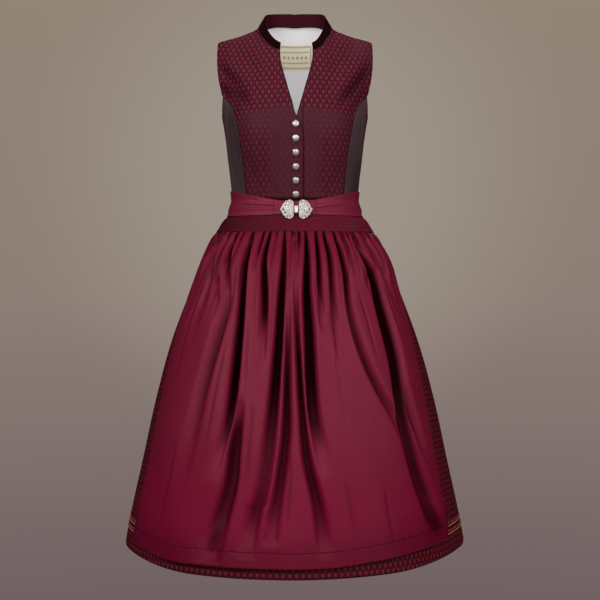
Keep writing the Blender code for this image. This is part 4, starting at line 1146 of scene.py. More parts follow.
# The deep folds, from the smocking down. Each stop is z, place across the half width, depth, width.
apronFolds = (
    ((-402, -0.90, 5, .020), (-440, -0.87, 6, .022), (-520, -0.86, 3, .026), (-600, -0.87, 0, .03)),
    ((-400, -0.86, 5, .018), (-440, -0.80, 8, .022), (-486, -0.745, 9, .026), (-543, -0.735, 5, .03),
     (-600, -0.745, 0, .03)),
    ((-400, -0.765, 6, .016), (-440, -0.725, 9, .018), (-480, -0.69, 9, .022), (-524, -0.615, 3, .026),
     (-560, -0.60, 0, .03)),
    ((-455, -0.60, 0, .02), (-505, -0.545, 6, .024), (-542, -0.525, 10, .028), (-589, -0.538, 11, .030),
     (-680, -0.574, 10, .032), (-770, -0.605, 7, .036), (-830, -0.64, 3, .05), (-890, -0.67, 0, .05)),
    ((-400, -0.675, 9, .012), (-425, -0.655, 15, .017), (-455, -0.615, 15, .018), (-490, -0.575, 8, .018),
     (-520, -0.56, 0, .018)),
    ((-400, -0.475, 7, .012), (-439, -0.455, 19, .018), (-480, -0.437, 24, .021), (-542, -0.405, 26, .023),
     (-634, -0.386, 27, .025), (-700, -0.386, 25, .025), (-745, -0.398, 17, .024), (-802, -0.426, 7, .030),
     (-850, -0.45, 0, .05)),
    ((-700, -0.335, 0, .03), (-745, -0.336, 12, .030), (-790, -0.343, 22, .032), (-854, -0.352, 21, .036),
     (-905, -0.385, 18, .044), (-945, -0.412, 13, .050), (-985, -0.43, 4, .05)),
    ((-400, -0.365, 8, .010), (-425, -0.360, 8, .012), (-450, -0.352, 0, .014)),
    ((-400, -0.292, 8, .012), (-439, -0.288, 16, .020), (-480, -0.262, 18, .026), (-542, -0.229, 15, .026),
     (-600, -0.222, 7, .028), (-660, -0.22, 0, .03)),
    ((-400, -0.118, 8, .013), (-440, -0.104, 15, .020), (-506, -0.108, 22, .024), (-588, -0.112, 24, .026),
     (-678, -0.125, 21, .028), (-766, -0.145, 15, .032), (-852, -0.175, 12, .034), (-915, -0.215, 13, .034),
     (-950, -0.232, 6, .036), (-980, -0.24, 0, .04)),
    ((-500, -0.052, 0, .016), (-560, -0.050, 8, .019), (-678, -0.048, 15, .022), (-765, -0.050, 17, .024),
     (-851, -0.082, 15, .026), (-905, -0.108, 12, .028), (-950, -0.122, 6, .03)),
    ((-400, 0.008, 6, .010), (-430, 0.010, 6, .012), (-470, 0.008, 3, .014), (-542, 0.013, 10, .016),
     (-633, 0.030, 15, .018), (-722, 0.048, 17, .020), (-808, 0.074, 17, .024), (-894, 0.133, 15, .028),
     (-945, 0.152, 9, .034), (-980, 0.165, 0, .04)),
    ((-400, 0.134, 8, .012), (-440, 0.122, 20, .020), (-500, 0.104, 24, .026), (-588, 0.107, 24, .030),
     (-678, 0.108, 22, .032), (-740, 0.120, 16, .034), (-790, 0.150, 8, .036), (-840, 0.17, 0, .04)),
    ((-400, 0.243, 8, .011), (-435, 0.228, 16, .016), (-480, 0.212, 14, .018), (-542, 0.203, 8, .020),
     (-590, 0.205, 0, .02)),
    ((-400, 0.340, 9, .012), (-439, 0.337, 15, .018), (-490, 0.312, 13, .020), (-542, 0.298, 10, .022),
     (-600, 0.300, 5, .024), (-650, 0.305, 0, .024)),
    ((-400, 0.458, 9, .011), (-439, 0.450, 16, .018), (-475, 0.440, 15, .022), (-542, 0.420, 12, .022),
     (-600, 0.442, 12, .022), (-680, 0.519, 12, .022), (-740, 0.606, 9, .024), (-790, 0.66, 2, .024)),
    ((-400, 0.565, 8, .010), (-440, 0.545, 7, .014), (-480, 0.53, 0, .016)),
    ((-400, 0.655, 8, .012), (-430, 0.640, 12, .020), (-470, 0.672, 24, .032), (-543, 0.668, 27, .038),
     (-636, 0.675, 26, .038), (-720, 0.664, 24, .036), (-800, 0.682, 22, .038), (-865, 0.722, 21, .040),
     (-912, 0.762, 18, .044), (-955, 0.79, 9, .05), (-985, 0.80, 0, .05)),
    ((-640, 0.68, 0, .02), (-690, 0.712, 8, .020), (-740, 0.732, 10, .022), (-790, 0.765, 6, .024),
     (-830, 0.79, 0, .024)),
    ((-400, 0.80, 6, .012), (-440, 0.79, 8, .018), (-500, 0.80, 5, .022), (-560, 0.83, 0, .024)),
    ((-430, 0.90, 4, .012), (-560, 0.900, 4, .012), (-740, 0.895, 3, .014), (-860, 0.89, 0, .014)),
)
# Fine creases between them: z and place across at the top and at the bottom, depth, width, and the tone of
# the painted shade in them
fineCreases = (
    (-470, 0.150, -600, 0.205, 1.6, .006, .30), (-486, 0.262, -610, 0.262, 1.4, .006, .26),
    (-455, 0.385, -540, 0.372, 1.6, .006, .30), (-500, 0.520, -640, 0.560, 1.8, .008, .30),
    (-450, 0.600, -520, 0.620, 2.0, .008, .35), (-470, 0.745, -620, 0.790, 1.8, .008, .30),
    (-440, 0.850, -600, 0.860, 1.6, .008, .28), (-470, -0.175, -620, -0.165, 1.5, .006, .26),
    (-455, -0.330, -560, -0.300, 1.8, .007, .30), (-560, -0.330, -700, -0.310, 1.4, .008, .22),
    (-450, -0.520, -560, -0.480, 1.8, .008, .32), (-470, -0.650, -560, -0.660, 1.6, .008, .28),
    (-440, -0.790, -560, -0.800, 1.6, .008, .28), (-520, -0.800, -690, -0.790, 1.6, .010, .26),
    (-600, -0.480, -800, -0.520, 1.4, .010, .22), (-620, 0.270, -760, 0.300, 1.2, .008, .18),
    (-700, -0.250, -860, -0.275, 1.6, .010, .24), (-800, -0.020, -930, -0.035, 1.8, .010, .28),
    (-840, 0.280, -960, 0.330, 1.4, .012, .20), (-780, -0.700, -940, -0.745, 1.4, .012, .20),
    (-860, 0.500, -965, 0.530, 1.2, .012, .18), (-520, 0.905, -760, 0.915, 1.4, .008, .30),
)
# Where the gathers pinch along the apron's top, as shares of its width
pinches = (
    0.0, 0.030, 0.062, 0.098, 0.135, 0.171, 0.218, 0.264, 0.294, 0.339, 0.388, 0.415, 0.440, 0.468, 0.494,
    0.513, 0.535, 0.574, 0.604, 0.648, 0.678, 0.710, 0.746, 0.791, 0.841, 0.880, 0.922, 0.962, 1.0,
)
foldPaths = [(stops[-1][0], stops[0][0], curvesOf(stops)) for stops in apronFolds]


def apronTrough(across, z):
    # how deep the folds cut in
    total = np.zeros_like(z)
    for low, high, (path, depth, width) in foldPaths:
        centre = path(z)
        away = (across - centre) / width(z)
        inward = away * np.sign(-centre) > 0
        reach = np.where(np.abs(centre) < 0.2, 1.15, np.where(inward, 0.85, 1.45))
        active = (z > low - 4) & (z < high + 20)
        cut = np.maximum(depth(z), 0) * trough(away, reach, 3.0) * active
        total = (total ** 3 + cut ** 3) ** (1 / 3)
    return total


def creaseCutAndShade(across, z):
    # the fine creases' depth and their painted shade
    cut, tone = np.zeros_like(z), np.zeros_like(z)
    for top, start, bottom, end, depth, width, dark in fineCreases:
        along = (z - top) / (bottom - top)
        near = trough((across - start - (end - start) * along) / width, 1.0, 2.0)
        near = near * riseAndFall(-0.02, 0.2, 0.6, 1.05, along)
        cut, tone = cut + depth * near, np.maximum(tone, dark * near)
    return cut, tone


def gatherSlitShade(phase, share, z):
    # painted shade: dark slits of uneven length under the last row of stitches
    number = np.rint(phase)
    uneven = np.modf(np.abs(np.sin(number * 12.9898) * 437.585))[0]
    length = 12 + 44 * uneven ** 1.5
    across = np.abs(share - np.interp(number, np.arange(len(pinches)), pinches)) * apron["topWidth"]
    down = (apron["top"] - z) / length
    return 0.96 * trough(across / (1.6 + 1.4 * uneven), 1.0, 2.0) * (1 - smoothStep(0.35, 1.0, down))


def apronHem(share):
    reach = 1 - 2 * np.abs(share - 0.5)
    corner = apron["corner"] * (1 - smoothStep(0, 0.05, reach)) ** 2
    left = apron["leftRise"] * smoothStep(0.55, 1.0, share)
    right = apron["rightRise"] * smoothStep(0.24, 0.0, share)
    return apron["bottom"] + left + right + corner


def apronSwell(share, z):
    # how far the cloth billows out from the skirt
    swell = apron["swell"] * smoothStep(-392, -470, z) * (1 - 0.62 * smoothStep(-760, -990, z))
    swell = swell + apron["crown"] * riseAndFall(-400, -430, -520, -900, z)
    swell = swell * (1 - np.abs(2 * share - 1) ** 5)
    hip = riseAndFall(-396, -425, -465, -570, z)
    return swell - apron["hipEase"] * smoothStep(0.32, 0.08, share) * hip


def apronGathers(share, z):
    # where each place lies among the gathers, how full it is there, and how tall they are
    phase = np.interp(share, pinches, np.arange(len(pinches)))
    puff = np.abs(np.sin(np.pi * phase)) ** 0.5
    uneven = 0.5 + 0.5 * np.sin(2.4 * np.floor(phase) + 0.8)
    gather = apron["gatherDepth"] * (0.75 + 0.5 * uneven) * smoothStep(-391, -404, z)
    gather = gather * (1 - smoothStep(-410 - 12 * uneven, -470 - 46 * uneven, z))
    return phase, puff, gather * (0.35 + 0.65 * smoothStep(0.02, 0.16, np.minimum(share, 1 - share)))


def buildApron():
    # rows lie close at the gathers and at the hem's stitches
    drops = np.interp(np.linspace(0, 1, apron["rows"]), apron["rowShares"], apron["rowDrops"])
    share, drop = np.meshgrid(spacing(apron["columns"], 0.1), drops)
    hem = apronHem(share)
    z = apron["top"] - drop * (apron["top"] - hem)
    right, left = apronAngles(z)
    angle = right + share * (left - right)
    ring = skirtRing(angle, z)
    across = ring[..., 0] / skirt["halfWidth"](z)
    swell = apronSwell(share, z)
    inset = apron["inset"] * underApron(angle, z)
    cut = apronTrough(across, z) * (1 + 0.7 * (1 - smoothStep(-402, -450, z)))
    phase, puff, gather = apronGathers(share, z)
    rest = apron["restTop"] + (apron["rest"] - apron["restTop"]) * smoothStep(-470, -900, z)
    soft = 0.8 * np.sin(across * 23 + z / 61) * smoothStep(-430, -560, z) * (1 - np.abs(2 * share - 1) ** 4)
    creased, creaseShade = creaseCutAndShade(across, z)
    out = rest + np.maximum(swell - cut, -inset) + gather * puff + soft - creased
    out = out - 0.45 * smoothStep(-395, apron["top"], z)
    fromHem = z - hem
    stitch = trough(fromHem - apron["hem"], 0.8, 2.0)
    out = out + 0.5 * (1 - smoothStep(apron["hem"] - 0.6, apron["hem"] + 0.6, fromHem)) - 0.5 * stitch
    out = out + 0.4 * np.sin(share * 260 + 3 * np.sin(share * 40)) * trough(fromHem - apron["hem"], 4, 2.0)
    edge = np.minimum(share, 1 - share) * apron["width"]
    out = out + 0.5 * (1 - smoothStep(apron["sideHem"] - 1.2, apron["sideHem"], edge))
    out = out + cloth["wall"] - 0.6 * trough(np.minimum(edge, fromHem), 1.0, 2.0)
    points = skirtPoint(angle, z, out)
    along = -runLengths(points)
    flat = np.stack([np.broadcast_to(runLengths(points[apron["measured"]]), along.shape), along], axis=-1)
    # painted shade: deep in the folds, less of it low down, along the stitch lines, towards the hem, in the
    # creases and slits and between the gathers' puffs
    inFold = 0.95 - 0.22 * smoothStep(-660, -810, z) - 0.12 * smoothStep(-830, -930, z)
    inFold = inFold * smoothStep(4.5, 15, cut)
    sideStitch = trough(edge - apron["sideHem"], 1.2, 2.0)
    shade = inFold + 0.42 * stitch + 0.32 * smoothStep(80, 10, fromHem) + 0.45 * sideStitch
    pinched = 0.6 * (1 - puff) ** 1.3 * smoothStep(0.1, 1.2, gather)
    light = (1 - np.clip(shade, 0, 1)) * (1 - pinched) * (1 - creaseShade) * (1 - gatherSlitShade(phase, share, z))
    # the hem's deeper, redder tone is painted, for the sheen the cloth lacks there
    low = smoothStep(-720, -930, z)
    piece = clothShell("apronSkirt", points, flat, "satin", "satin", ["apron_panel"], 1 - light, low)
    flatArea(points)


smock = {
    "angle": 85.0, "pleats": 112, "perPleat": 6, "relief": 1.1, "out": 1.9, "rows": 40, "top": -350.0,
    "bottom": -396.5, "stitches": 9, "firstStitch": -354.6, "lastStitch": -391.0, "pinch": 0.6,
    "thread": 0.2, "tuckedIn": 0.55, "flatWide": 620.0, "flatTall": 62.0,
}


def buildSmocking():
    columns = smock["pleats"] * smock["perPleat"] + 1
    levels = np.linspace(smock["top"], smock["bottom"], smock["rows"])
    angle, z = np.meshgrid(np.linspace(-smock["angle"], smock["angle"], columns), levels)
    phase = (angle / smock["angle"] + 1) * smock["pleats"] / 2
    phase = phase + 0.16 * np.sin(0.9 * phase) + 0.10 * np.sin(z / 3.1 + 0.37 * phase)
    pleat = np.abs(np.sin(np.pi * phase)) ** 0.8
    held = np.zeros_like(z)
    stitches = np.linspace(smock["firstStitch"], smock["lastStitch"], smock["stitches"])
    for level in stitches:
        held = np.maximum(held, trough(z - level, 1.5, 2.0))
    grow = smoothStep(-351, -356, z)
    slip = smoothStep(-390.4, -392.2, z)
    relief = smock["relief"] * grow * pleat * (1 - smock["pinch"] * held)
    relief = relief * (1 - slip) - smock["tuckedIn"] * slip
    points = skirtPoint(angle, z, smock["out"] + cloth["wall"] + relief)
    flat = np.stack([angle * 2.6, z], axis=-1)
    # painted shade between the pleats and along the stitch rows, and more of it towards the wearer's right,
    # where less light falls
    shade = np.maximum(0.50 * (1 - pleat) ** 1.2, 0.60 * held) * grow
    shade = 1 - (1 - shade) * np.clip(0.90 + 0.0072 * angle, 0.42, 1.0)
    piece = clothShell("smockedHead", points, flat, "satin", "satin", ["apron_smocking"], shade)
    flatArea(points)
    for number, level in enumerate(stitches):
        spots = angle[0, ::3]
        lift = smock["relief"] * (0.25 + 0.45 * np.abs(np.sin(np.pi * phase[0, ::3])))
        line = skirtPoint(spots, np.full_like(spots, level), smock["out"] + cloth["wall"] + lift)
        name = f"smockThread_{number + 1}"
        place(tubeThrough(name, line, smock["thread"], "redThread", closed=False, sides=0), "satin")


# Waistband, from the clasp round to the back centre: angle, top, bottom
bandStops = (
    (4.2, -334, -359.5), (13, -331.5, -359.5), (17, -330, -359.8), (40, -321, -360), (70, -310, -359),
    (90, -307, -358), (135, -307, -357), (179.85, -307, -357),
)
band = {
    "outTop": 2.6, "outBottom": 6.0, "outCentre": 4.9, "flare": 3.6,
    "tuck": 1.6, "tack": 15.5, "waist": -330.0,
    "start": 0.12, "side": 60, "end": 179.85, "frontColumns": 116, "backColumns": 70, "rows": 36,
    "height": 26.0, "flatWide": 315.0, "flatTall": 60.0,
}
# Soft creases out from the tack line: share of the height there, share at their end, end angle, depth
bandCreases = {
    "left": ((0.52, 0.43, 52, 1.3), (0.30, 0.18, 40, 0.4), (0.72, 0.82, 44, 0.3), (0.62, 0.60, 70, 0.2)),
    "right": ((0.39, 0.45, 56, 1.3), (0.22, 0.12, 42, 0.4), (0.66, 0.80, 50, 0.3), (0.55, 0.62, 74, 0.2)),
}


def bandPoint(angle, z, out):
    # above the waist it follows the bodice, and below it the ungathered skirt
    row = rowAtHeight(z)
    upper = [torso[name](row) for name in ("halfWidth", "front", "back")] + [torsoPower]
    lower = skirtSizes(angle, z)
    sizes = [np.where(z > band["waist"], a, b) for a, b in zip(upper, lower)]
    centre = 1 - smoothStep(13, 26, np.abs(angle))
    clear = band["outTop"] + (band["outCentre"] - band["outTop"]) * centre
    clear = clear + np.maximum(band["outBottom"] - clear, 0) * smoothStep(-323, -343, z)
    hip = riseAndFall(35, 75, 105, 150, np.abs(angle))
    clear = clear + band["flare"] * hip * smoothStep(-326, -360, z)
    x, y = sectionPoint(angle, *sizes)
    return np.stack([x, y, z], axis=-1) + levelOutward(angle, sizes) * (clear + out)[..., None]


def buildBand():
    topOf, bottomOf = curvesOf(bandStops)
    front = np.linspace(band["start"], band["side"], band["frontColumns"])
    back = np.linspace(band["side"], band["end"], band["backColumns"])
    angle, share = np.meshgrid(np.concatenate([front, back[1:]]), spacing(band["rows"], 0.3))
    z = topOf(angle) + share * (bottomOf(angle) - topOf(angle))
    for side in ("left", "right"):
        out = np.full_like(z, cloth["wall"])
        # tone is painted shade, under the creases' laps and along the tack line
        tone = np.zeros_like(z)
        for atTack, atEnd, endAngle, depth in bandCreases[side]:
            run = (angle - band["tack"]) / (endAngle - band["tack"])
            line = atTack + (atEnd - atTack) * np.clip(run, -1, 1.2)
            fade = riseAndFall(-0.06, 0.05, 0.5, 1.05, run)
            lap = riseAndFall(-0.16, -0.01, 0.0, 0.03, share - line)
            out = out + depth * lap * fade
            tone = np.maximum(tone, 0.4 * depth * trough(share - line - 0.02, 0.02, 2.0) * fade)
        tack = trough((angle - band["tack"]) * 1.9, 1.3, 2.0)
        out = out - 0.5 * tack + 0.5 * (1 - smoothStep(band["tack"] - 0.6, band["tack"] + 0.6, angle))
        out = out - 0.5 * trough(np.minimum(share, 1 - share) * band["height"], 0.9, 2.0)
        tone = np.maximum(tone, 0.3 * tack)
        points = bandPoint(angle, z, out)
        flat = np.stack([angle * 2.0, z], axis=-1)
        if side == "right":
            points, tone, flat = mirrored(points), tone[:, ::-1], flat[:, ::-1] * (-1, 1)
        piece = clothShell(f"sash_{side}", points, flat, "band", "satin", [f"waistband_{side}"], tone)
        flatArea(points)


buildApron()
buildSmocking()
buildBand()
print("apron ready")

buttonLook = {"count": 6, "x": 2.0, "top": -191.0, "pitch": 25.6, "radius": 6.6, "dome": 4.6, "petals": 8,
              "beads": 14, "rings": 22, "turns": 64, "wall": 0.45}
claspLook = {
    "x": 2.8, "z": -350.0, "inner": 4.7, "dome": 2.4, "barWide": 8.6, "barTall": 15.0,
    "gap": 2.1, "lean": 5.0, "sweep": 6.0, "centre": 12.0, "rim": 150, "rise": 1.9,
    "steps": ((1.0, 0.0), (1.0, 1.2), (0.94, 1.6), (0.7, 2.1), (0.4, 2.9), (0.1, 3.5)),  # size, height
}
claspEdge = (
    (0, 0), (0, 8), (0.3, 13), (1.2, 15.6), (2.8, 16.4), (5.0, 18.3), (8.2, 19.1), (10.8, 18.4), (12.2, 16.6),
    (14.6, 16.8), (17.0, 15.2), (17.6, 12.8), (20.0, 11.8), (21.8, 9.4), (22.2, 6.6), (24.2, 4.2), (26.6, 0),
)


def facing(position, outward):
    # a placement whose +Z points outwards and whose +Y points up
    outward = Vector(outward).normalized()
    side = Vector((0, 0, 1)).cross(outward).normalized()
    up = outward.cross(side)
    turn = Matrix((side, up, outward)).transposed().to_4x4()
    return Matrix.Translation(Vector(position) * mm) @ turn


def buildButtons():
    look = buttonLook
    around = np.linspace(0, 2 * np.pi, look["turns"] + 1)
    share, turn = np.meshgrid(np.linspace(0, 1, look["rings"]), around, indexing="ij")
    radius = look["radius"] * share
    height = look["dome"] * (0.3 + 0.7 * np.sqrt(np.maximum(1 - (share * 0.98) ** 2, 0)))
    petal = np.abs(np.cos(turn * look["petals"] / 2)) ** 0.7 * riseAndFall(0.16, 0.30, 0.66, 0.78, share)
    beads = np.abs(np.sin(turn * look["beads"])) * trough(share - 0.86, 0.07, 2.0)
    eye = 1 - smoothStep(0.10, 0.15, share)
    height = height + 0.35 * petal + 0.35 * beads + 0.4 * eye
    skirtDown = smoothStep(0.94, 1.0, share)
    height = height * (1 - skirtDown) + 0.5 * skirtDown
    points = np.stack([radius * np.cos(turn), radius * np.sin(turn), height], axis=-1)
    between = (1 - petal) * riseAndFall(0.14, 0.2, 0.70, 0.8, share)
    shade = 0.8 * between + 0.5 * (1 - beads) * trough(share - 0.86, 0.08, 2.0)
    for number in range(look["count"]):
        row = rowAtHeight(np.array(look["top"] - number * look["pitch"]))
        angle = angleAt(np.array(look["x"]), row)
        normal = torsoNormal(angle[None], row[None])[0]
        seat = torsoPoint(angle, row) + normal * (bodice["raise"] + cloth["wall"] + 0.3)
        mesh = gridMesh(f"button_{number + 1}_dome", points[:, ::-1], points[:, ::-1, :2], shade[:, ::-1])
        mesh.materials.append(finishes["silver"])
        piece = welded(bpy.data.objects.new(f"dome_{number + 1}", mesh))
        walled(piece, look["wall"])
        piece.matrix_world = facing(seat, normal)
        place(piece, "old_silver", f"button_{number + 1}")


def claspSeat(across):
    look = claspLook
    angle = angleAt(np.array([look["x"]]), float(waistRow))
    stand = cloth["wall"] + band["tuck"] + look["gap"]
    middle = bandPoint(angle, np.array([look["z"]]), np.array([stand]))[0]
    lean = math.radians(look["lean"])
    side = math.copysign(1, across) if across else 0
    sweep = side * math.radians(look["sweep"])
    hinge = side * look["inner"]
    reach = across - hinge
    seat = Vector(middle) + Vector((hinge + reach * math.cos(sweep), reach * math.sin(sweep), 0))
    outward = Vector((math.sin(sweep), -math.cos(sweep), 0))
    return seat, outward * math.cos(lean) + Vector((0, 0, math.sin(lean)))


def joined(parts, name):
    # one mesh object from several parts, each of one finish: vertices in millimetres, faces, finish, smooth
    verts, faces, slots, smooth, finishNames = [], [], [], [], []
    for corners, polygons, finish, rounded in parts:
        if finish not in finishNames:
            finishNames.append(finish)
        faces += [[len(verts) + i for i in polygon] for polygon in polygons]
        slots += [finishNames.index(finish)] * len(polygons)
        smooth += [rounded] * len(polygons)
        verts += [tuple(float(v) * mm for v in corner) for corner in corners]
    mesh = bpy.data.meshes.new(name)
    mesh.from_pydata(verts, [], faces)
    for finish in finishNames:
        mesh.materials.append(finishes[finish])
    mesh.polygons.foreach_set("material_index", slots)
    mesh.polygons.foreach_set("use_smooth", smooth)
    return bpy.data.objects.new(name, mesh)


def repeated(shape, faces, places, finish, smooth=False):
    # the same small shape at each place: x, y, height, size
    shape, places = np.array(shape, float), np.array(places, float)
    verts = (shape[None] * places[:, None, 3:4] + places[:, None, :3]).reshape(-1, 3)
    every = [[i + k * len(shape) for i in face] for k in range(len(places)) for face in faces]
    return verts, every, finish, smooth


def stackFaces(count, rings, closed=True):
    # quads between rings of points, with a cap at each end
    quads = []
    for k in range(rings - 1):
        for i in range(count):
            j = (i + 1) % count
            quads.append((k * count + i, k * count + j, (k + 1) * count + j, (k + 1) * count + i))
    if closed:
        quads += [tuple(range((rings - 1) * count, rings * count)), tuple(range(count))[::-1]]
    return quads


def ringShape(rings, turns, closed=True):
    # rings of (radius, height), joined by quads
    turn = np.linspace(0, 2 * np.pi, turns, endpoint=False)
    shape = [(r * math.cos(a), r * math.sin(a), h) for r, h in rings for a in turn]
    return shape, stackFaces(turns, len(rings), closed)


stoneShape = ringShape(((1, 0), (1, 0.2), (0.58, 0.72)), 8)
beadShape = ringShape(((0.5, -0.87), (0.87, -0.5), (1, 0), (0.87, 0.5), (0.5, 0.87)), 8)
bezelShape = ringShape(((1.0, 0), (1.28, 0), (1.28, 0.45), (1.08, 0.5), (1.0, 0.3)), 10, closed=False)
cupShape = ringShape(((1.35, 0), (1.35, 0.9), (1.1, 1.0), (0.95, 0.6), (0.9, 0.05)), 14)
holeShadeShape = ringShape(((0.85, 0), (0.85, 0.3)), 12)
# Rows of stones inside the rim: inset, gap, size
stoneRows = ((2.1, 2.25, 0.92), (4.3, 2.6, 1.08), (6.8, 2.3, 0.88), (9.1, 2.9, 1.2))
# Open places in each plate, from its middle: x outwards, y, radius
claspHoles = ((8.0, 0.4, 1.5), (4.1, 6.6, 1.0), (4.1, -6.1, 1.0), (1.0, 14.2, 0.8), (-6.6, 14.0, 0.8),
              (0.4, -13.6, 0.8), (-5.9, -13.6, 0.8))


def plateHeight(x, y):
    # the plate rises towards its middle
    share = max(1 - math.hypot(x / 14.0, y / 19.0), 0)
    return claspLook["rise"] + claspLook["dome"] * 0.8 * share


def insetLine(rim, inset):
    # the outline moved in towards the middle of the plate by about this much
    reach = np.hypot(rim[:, 0], rim[:, 1])
    return rim * np.maximum(1 - inset * 1.25 / np.maximum(reach, 1), 0.12)[:, None]


def buildPlate(name, node, sign):
    look = claspLook
    edge = [(x - look["centre"], y) for x, y in claspEdge]
    outline = np.array(edge + [(x, -y) for x, y in edge[-2:0:-1]])
    closed = np.vstack([outline, outline[:1]])
    steps = runLengths(closed)
    t = np.linspace(0, steps[-1], look["rim"], endpoint=False)
    rim = np.stack([np.interp(t, steps, closed[:, 0]), np.interp(t, steps, closed[:, 1])], axis=-1)
    verts = [(x * size * sign, y * size, lift) for size, lift in look["steps"] for x, y in rim]
    faces = stackFaces(look["rim"], len(look["steps"]))
    if sign > 0:
        faces = [face[::-1] for face in faces]
    # beads round the rim, then stones in close rows inside it
    beads = [(x * sign * 0.965, y * 0.965, 1.7, 0.72) for x, y in rim[::2]]
    stones, cups = [], [(x * sign, y, plateHeight(x, y) - 0.4, r) for x, y, r in claspHoles]
    for ring, (inset, gap, size) in enumerate(stoneRows):
        shrunk = insetLine(rim, inset)
        walk = runLengths(shrunk)
        turns = max(3, int(walk[-1] / gap))
        for along in np.linspace(0, walk[-1], turns, endpoint=False) + 0.4 * ring:
            x, y = np.interp(along, walk, shrunk[:, 0]), np.interp(along, walk, shrunk[:, 1])
            if all(math.hypot(x - hx, y - hy) > r + 1.35 for hx, hy, r in claspHoles):
                stones.append((x * sign, y, plateHeight(x, y), size))
    stones.append((0.4 * sign, 0.0, plateHeight(0, 0), 1.5))
    # painted shade: dark discs fill the open places
    holeShades = [(x, y, z + 0.1, r) for x, y, z, r in cups]
    plate = joined((
        (verts, faces, "oxide", False),
        repeated(*beadShape, beads, "silver", smooth=True),
        repeated(*stoneShape, stones, "stone"),
        repeated(*bezelShape, stones, "silver"),
        repeated(*cupShape, cups, "silver"),
        repeated(*holeShadeShape, holeShades, "hollow"),
    ), name)
    plate.matrix_world = facing(*claspSeat(sign * (look["inner"] + look["centre"])))
    place(plate, "old_silver", node)


def buildClaspBar():
    look = claspLook
    wide, tall = look["barWide"] / 2 - 1.5, look["barTall"] / 2 - 1.5
    around = []
    for start, across, up in ((0, 1, 1), (90, -1, 1), (180, -1, -1), (270, 1, -1)):  # rounded corners
        for a in np.radians(np.linspace(start, start + 90, 6)):
            around.append((across * wide + math.cos(a), up * tall + math.sin(a)))
    verts = [(x * s, y * s, h) for s, h in ((1, 0), (1, 1.3), (0.86, 1.9)) for x, y in around]
    spots = [(x, y, 1.9, 1.2) for x in (-1.7, 1.7) for y in (-4.6, -1.55, 1.55, 4.6)]
    piece = joined((
        (verts, stackFaces(len(around), 3), "silver", False),
        repeated(*stoneShape, spots, "stone"),
        repeated(*bezelShape, spots, "silver"),
    ), "claspHook")
    piece.matrix_world = facing(*claspSeat(0.0))
    place(piece, "old_silver", "clasp_bar")


buildButtons()
buildPlate("claspPlate_right", "clasp_right", -1)
buildPlate("claspPlate_left", "clasp_left", 1)
buildClaspBar()
print("buttons and clasp ready")

studio = {
    "floor": -1400.0, "floorSize": 1100.0, "floorTurns": 96, "floorTone": colour(176, 166, 156),
    "lens": 75.0, "eye": (0.010, -2.5, -0.524), "aim": (0, 0, -0.5),
    "top": colour(146, 132, 118), "middle": colour(141, 127, 118), "bottom": colour(110, 95, 98),
    "glow": colour(160, 150, 140), "glowAt": (0.0, 1.0, 0.10), "glowNear": 0.06, "glowFar": 0.24,
    "fillFront": 0.11, "fillBehind": 0.018, "fillTone": (0.90, 0.82, 0.80, 1.0),
}
# Lights: name, place, size across and up, power, tint. Each faces the middle of the dress.
lamps = (
    ("keyRight", (1.7, -2.4, 1.3), (1.8, 1.4), 39.0, (1.0, 0.97, 0.96)),
    ("keyLeft", (-1.9, -2.2, 1.2), (1.8, 1.4), 52.0, (1.0, 0.97, 0.96)),
    ("front", (0.0, -3.4, 0.2), (1.4, 0.8), 19.5, (1.0, 0.96, 0.95)),
    ("behind", (0.2, 3.0, 0.5), (0.9, 1.6), 40.0, (1.0, 0.98, 0.96)),
    ("above", (0.0, 0.4, 1.8), (1.0, 0.8), 10.0, (1.0, 1.0, 1.0)),
    ("lowRight", (1.9, -1.5, -0.45), (0.7, 0.7), 5.5, (1.0, 0.97, 0.96)),
)


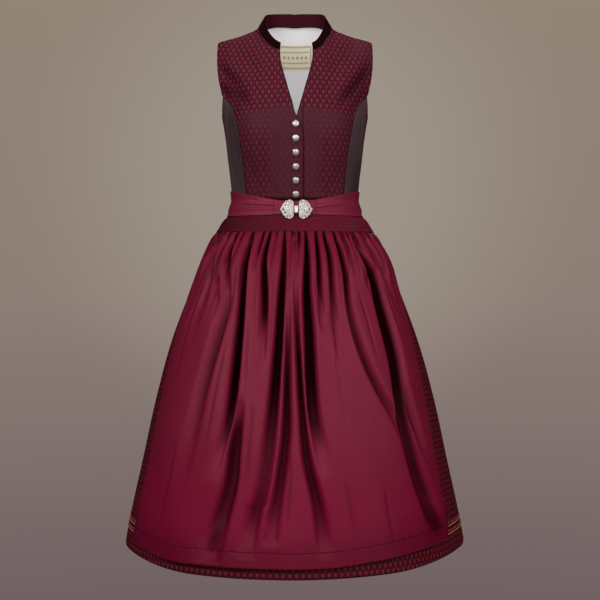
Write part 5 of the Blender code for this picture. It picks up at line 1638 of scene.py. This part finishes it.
def buildWorld():
    world = bpy.data.worlds.new("studio")
    bpy.context.scene.world = world
    world.use_nodes = True
    world.node_tree.nodes.clear()
    sky = Sheet(world.node_tree)
    way = sky.node("ShaderNodeTexCoord", output="Generated")
    _, depth, height = sky.parts(way)
    level = sky.node("ShaderNodeMapRange", inputs={0: height, 1: -0.24, 2: 0.24})
    stops = ((0.0, studio["bottom"]), (0.5, studio["middle"]), (1.0, studio["top"]))
    backdrop = sky.node("ShaderNodeValToRGB", {"stops": stops}, {0: level})
    # a soft pool of light on the backdrop behind the dress
    middle = {0: way, 1: studio["glowAt"]}
    away = sky.node("ShaderNodeVectorMath", {"operation": "DISTANCE"}, middle, "Value")
    pool = {0: away, 1: studio["glowNear"], 2: studio["glowFar"], 3: 0.85, 4: 0.0}
    near = sky.node("ShaderNodeMapRange", {"interpolation_type": "SMOOTHSTEP"}, pool)
    seen = sky.node("ShaderNodeBackground", inputs={0: sky.mix(near, backdrop, studio["glow"])})
    # the fill comes from the front half, so that the cloth's far edges stay dark
    strength = sky.node("ShaderNodeMapRange", inputs={
        0: depth, 1: -0.5, 2: 0.3, 3: studio["fillFront"], 4: studio["fillBehind"],
    })
    lit = sky.node("ShaderNodeBackground", inputs={0: studio["fillTone"], 1: strength})
    seenOnly = sky.node("ShaderNodeLightPath", output="Is Camera Ray")
    mixed = sky.node("ShaderNodeMixShader", inputs={0: seenOnly, 1: lit, 2: seen})
    output = world.node_tree.nodes.new("ShaderNodeOutputWorld")
    world.node_tree.links.new(mixed.socket, output.inputs[0])


def buildFloor():
    # a round sheet of paper under the dress
    paper = Finish("floor_paper", Roughness=0.9)
    tone = studio["floorTone"]
    paper.feed(Base_Color=paper.mix(paper.noise(9.0, 4.0), tone, darker(tone, 0.9)))
    finishes["paper"] = paper.material
    size, turns = studio["floorSize"], studio["floorTurns"]
    turn = np.linspace(0, 2 * np.pi, turns, endpoint=False)
    rim = [(size * math.cos(a), size * math.sin(a), studio["floor"]) for a in turn]
    floor = linked(joined(((rim, [range(turns)], "paper", False),), "floor"))


def buildLamps():
    aim = Vector(studio["aim"])
    for name, at, (wide, tall), power, tint in lamps:
        light = bpy.data.lights.new(name, "AREA")
        light.shape, light.size, light.size_y = "RECTANGLE", wide, tall
        light.energy, light.color = power, tint
        lamp = bpy.data.objects.new(name, light)
        lamp.location = at
        lamp.rotation_euler = (aim - Vector(at)).to_track_quat("-Z", "Y").to_euler()
        linked(lamp)


def buildCamera():
    eye = bpy.data.cameras.new("camera")
    eye.lens, eye.sensor_width = studio["lens"], 36.0
    camera = linked(bpy.data.objects.new("camera", eye))
    camera.location = studio["eye"]
    camera.rotation_euler = (math.radians(90), 0, 0)
    bpy.context.scene.camera = camera


bpy.context.scene.view_settings.view_transform = "Standard"
buildWorld()
buildFloor()
buildLamps()
buildCamera()
print("studio ready")
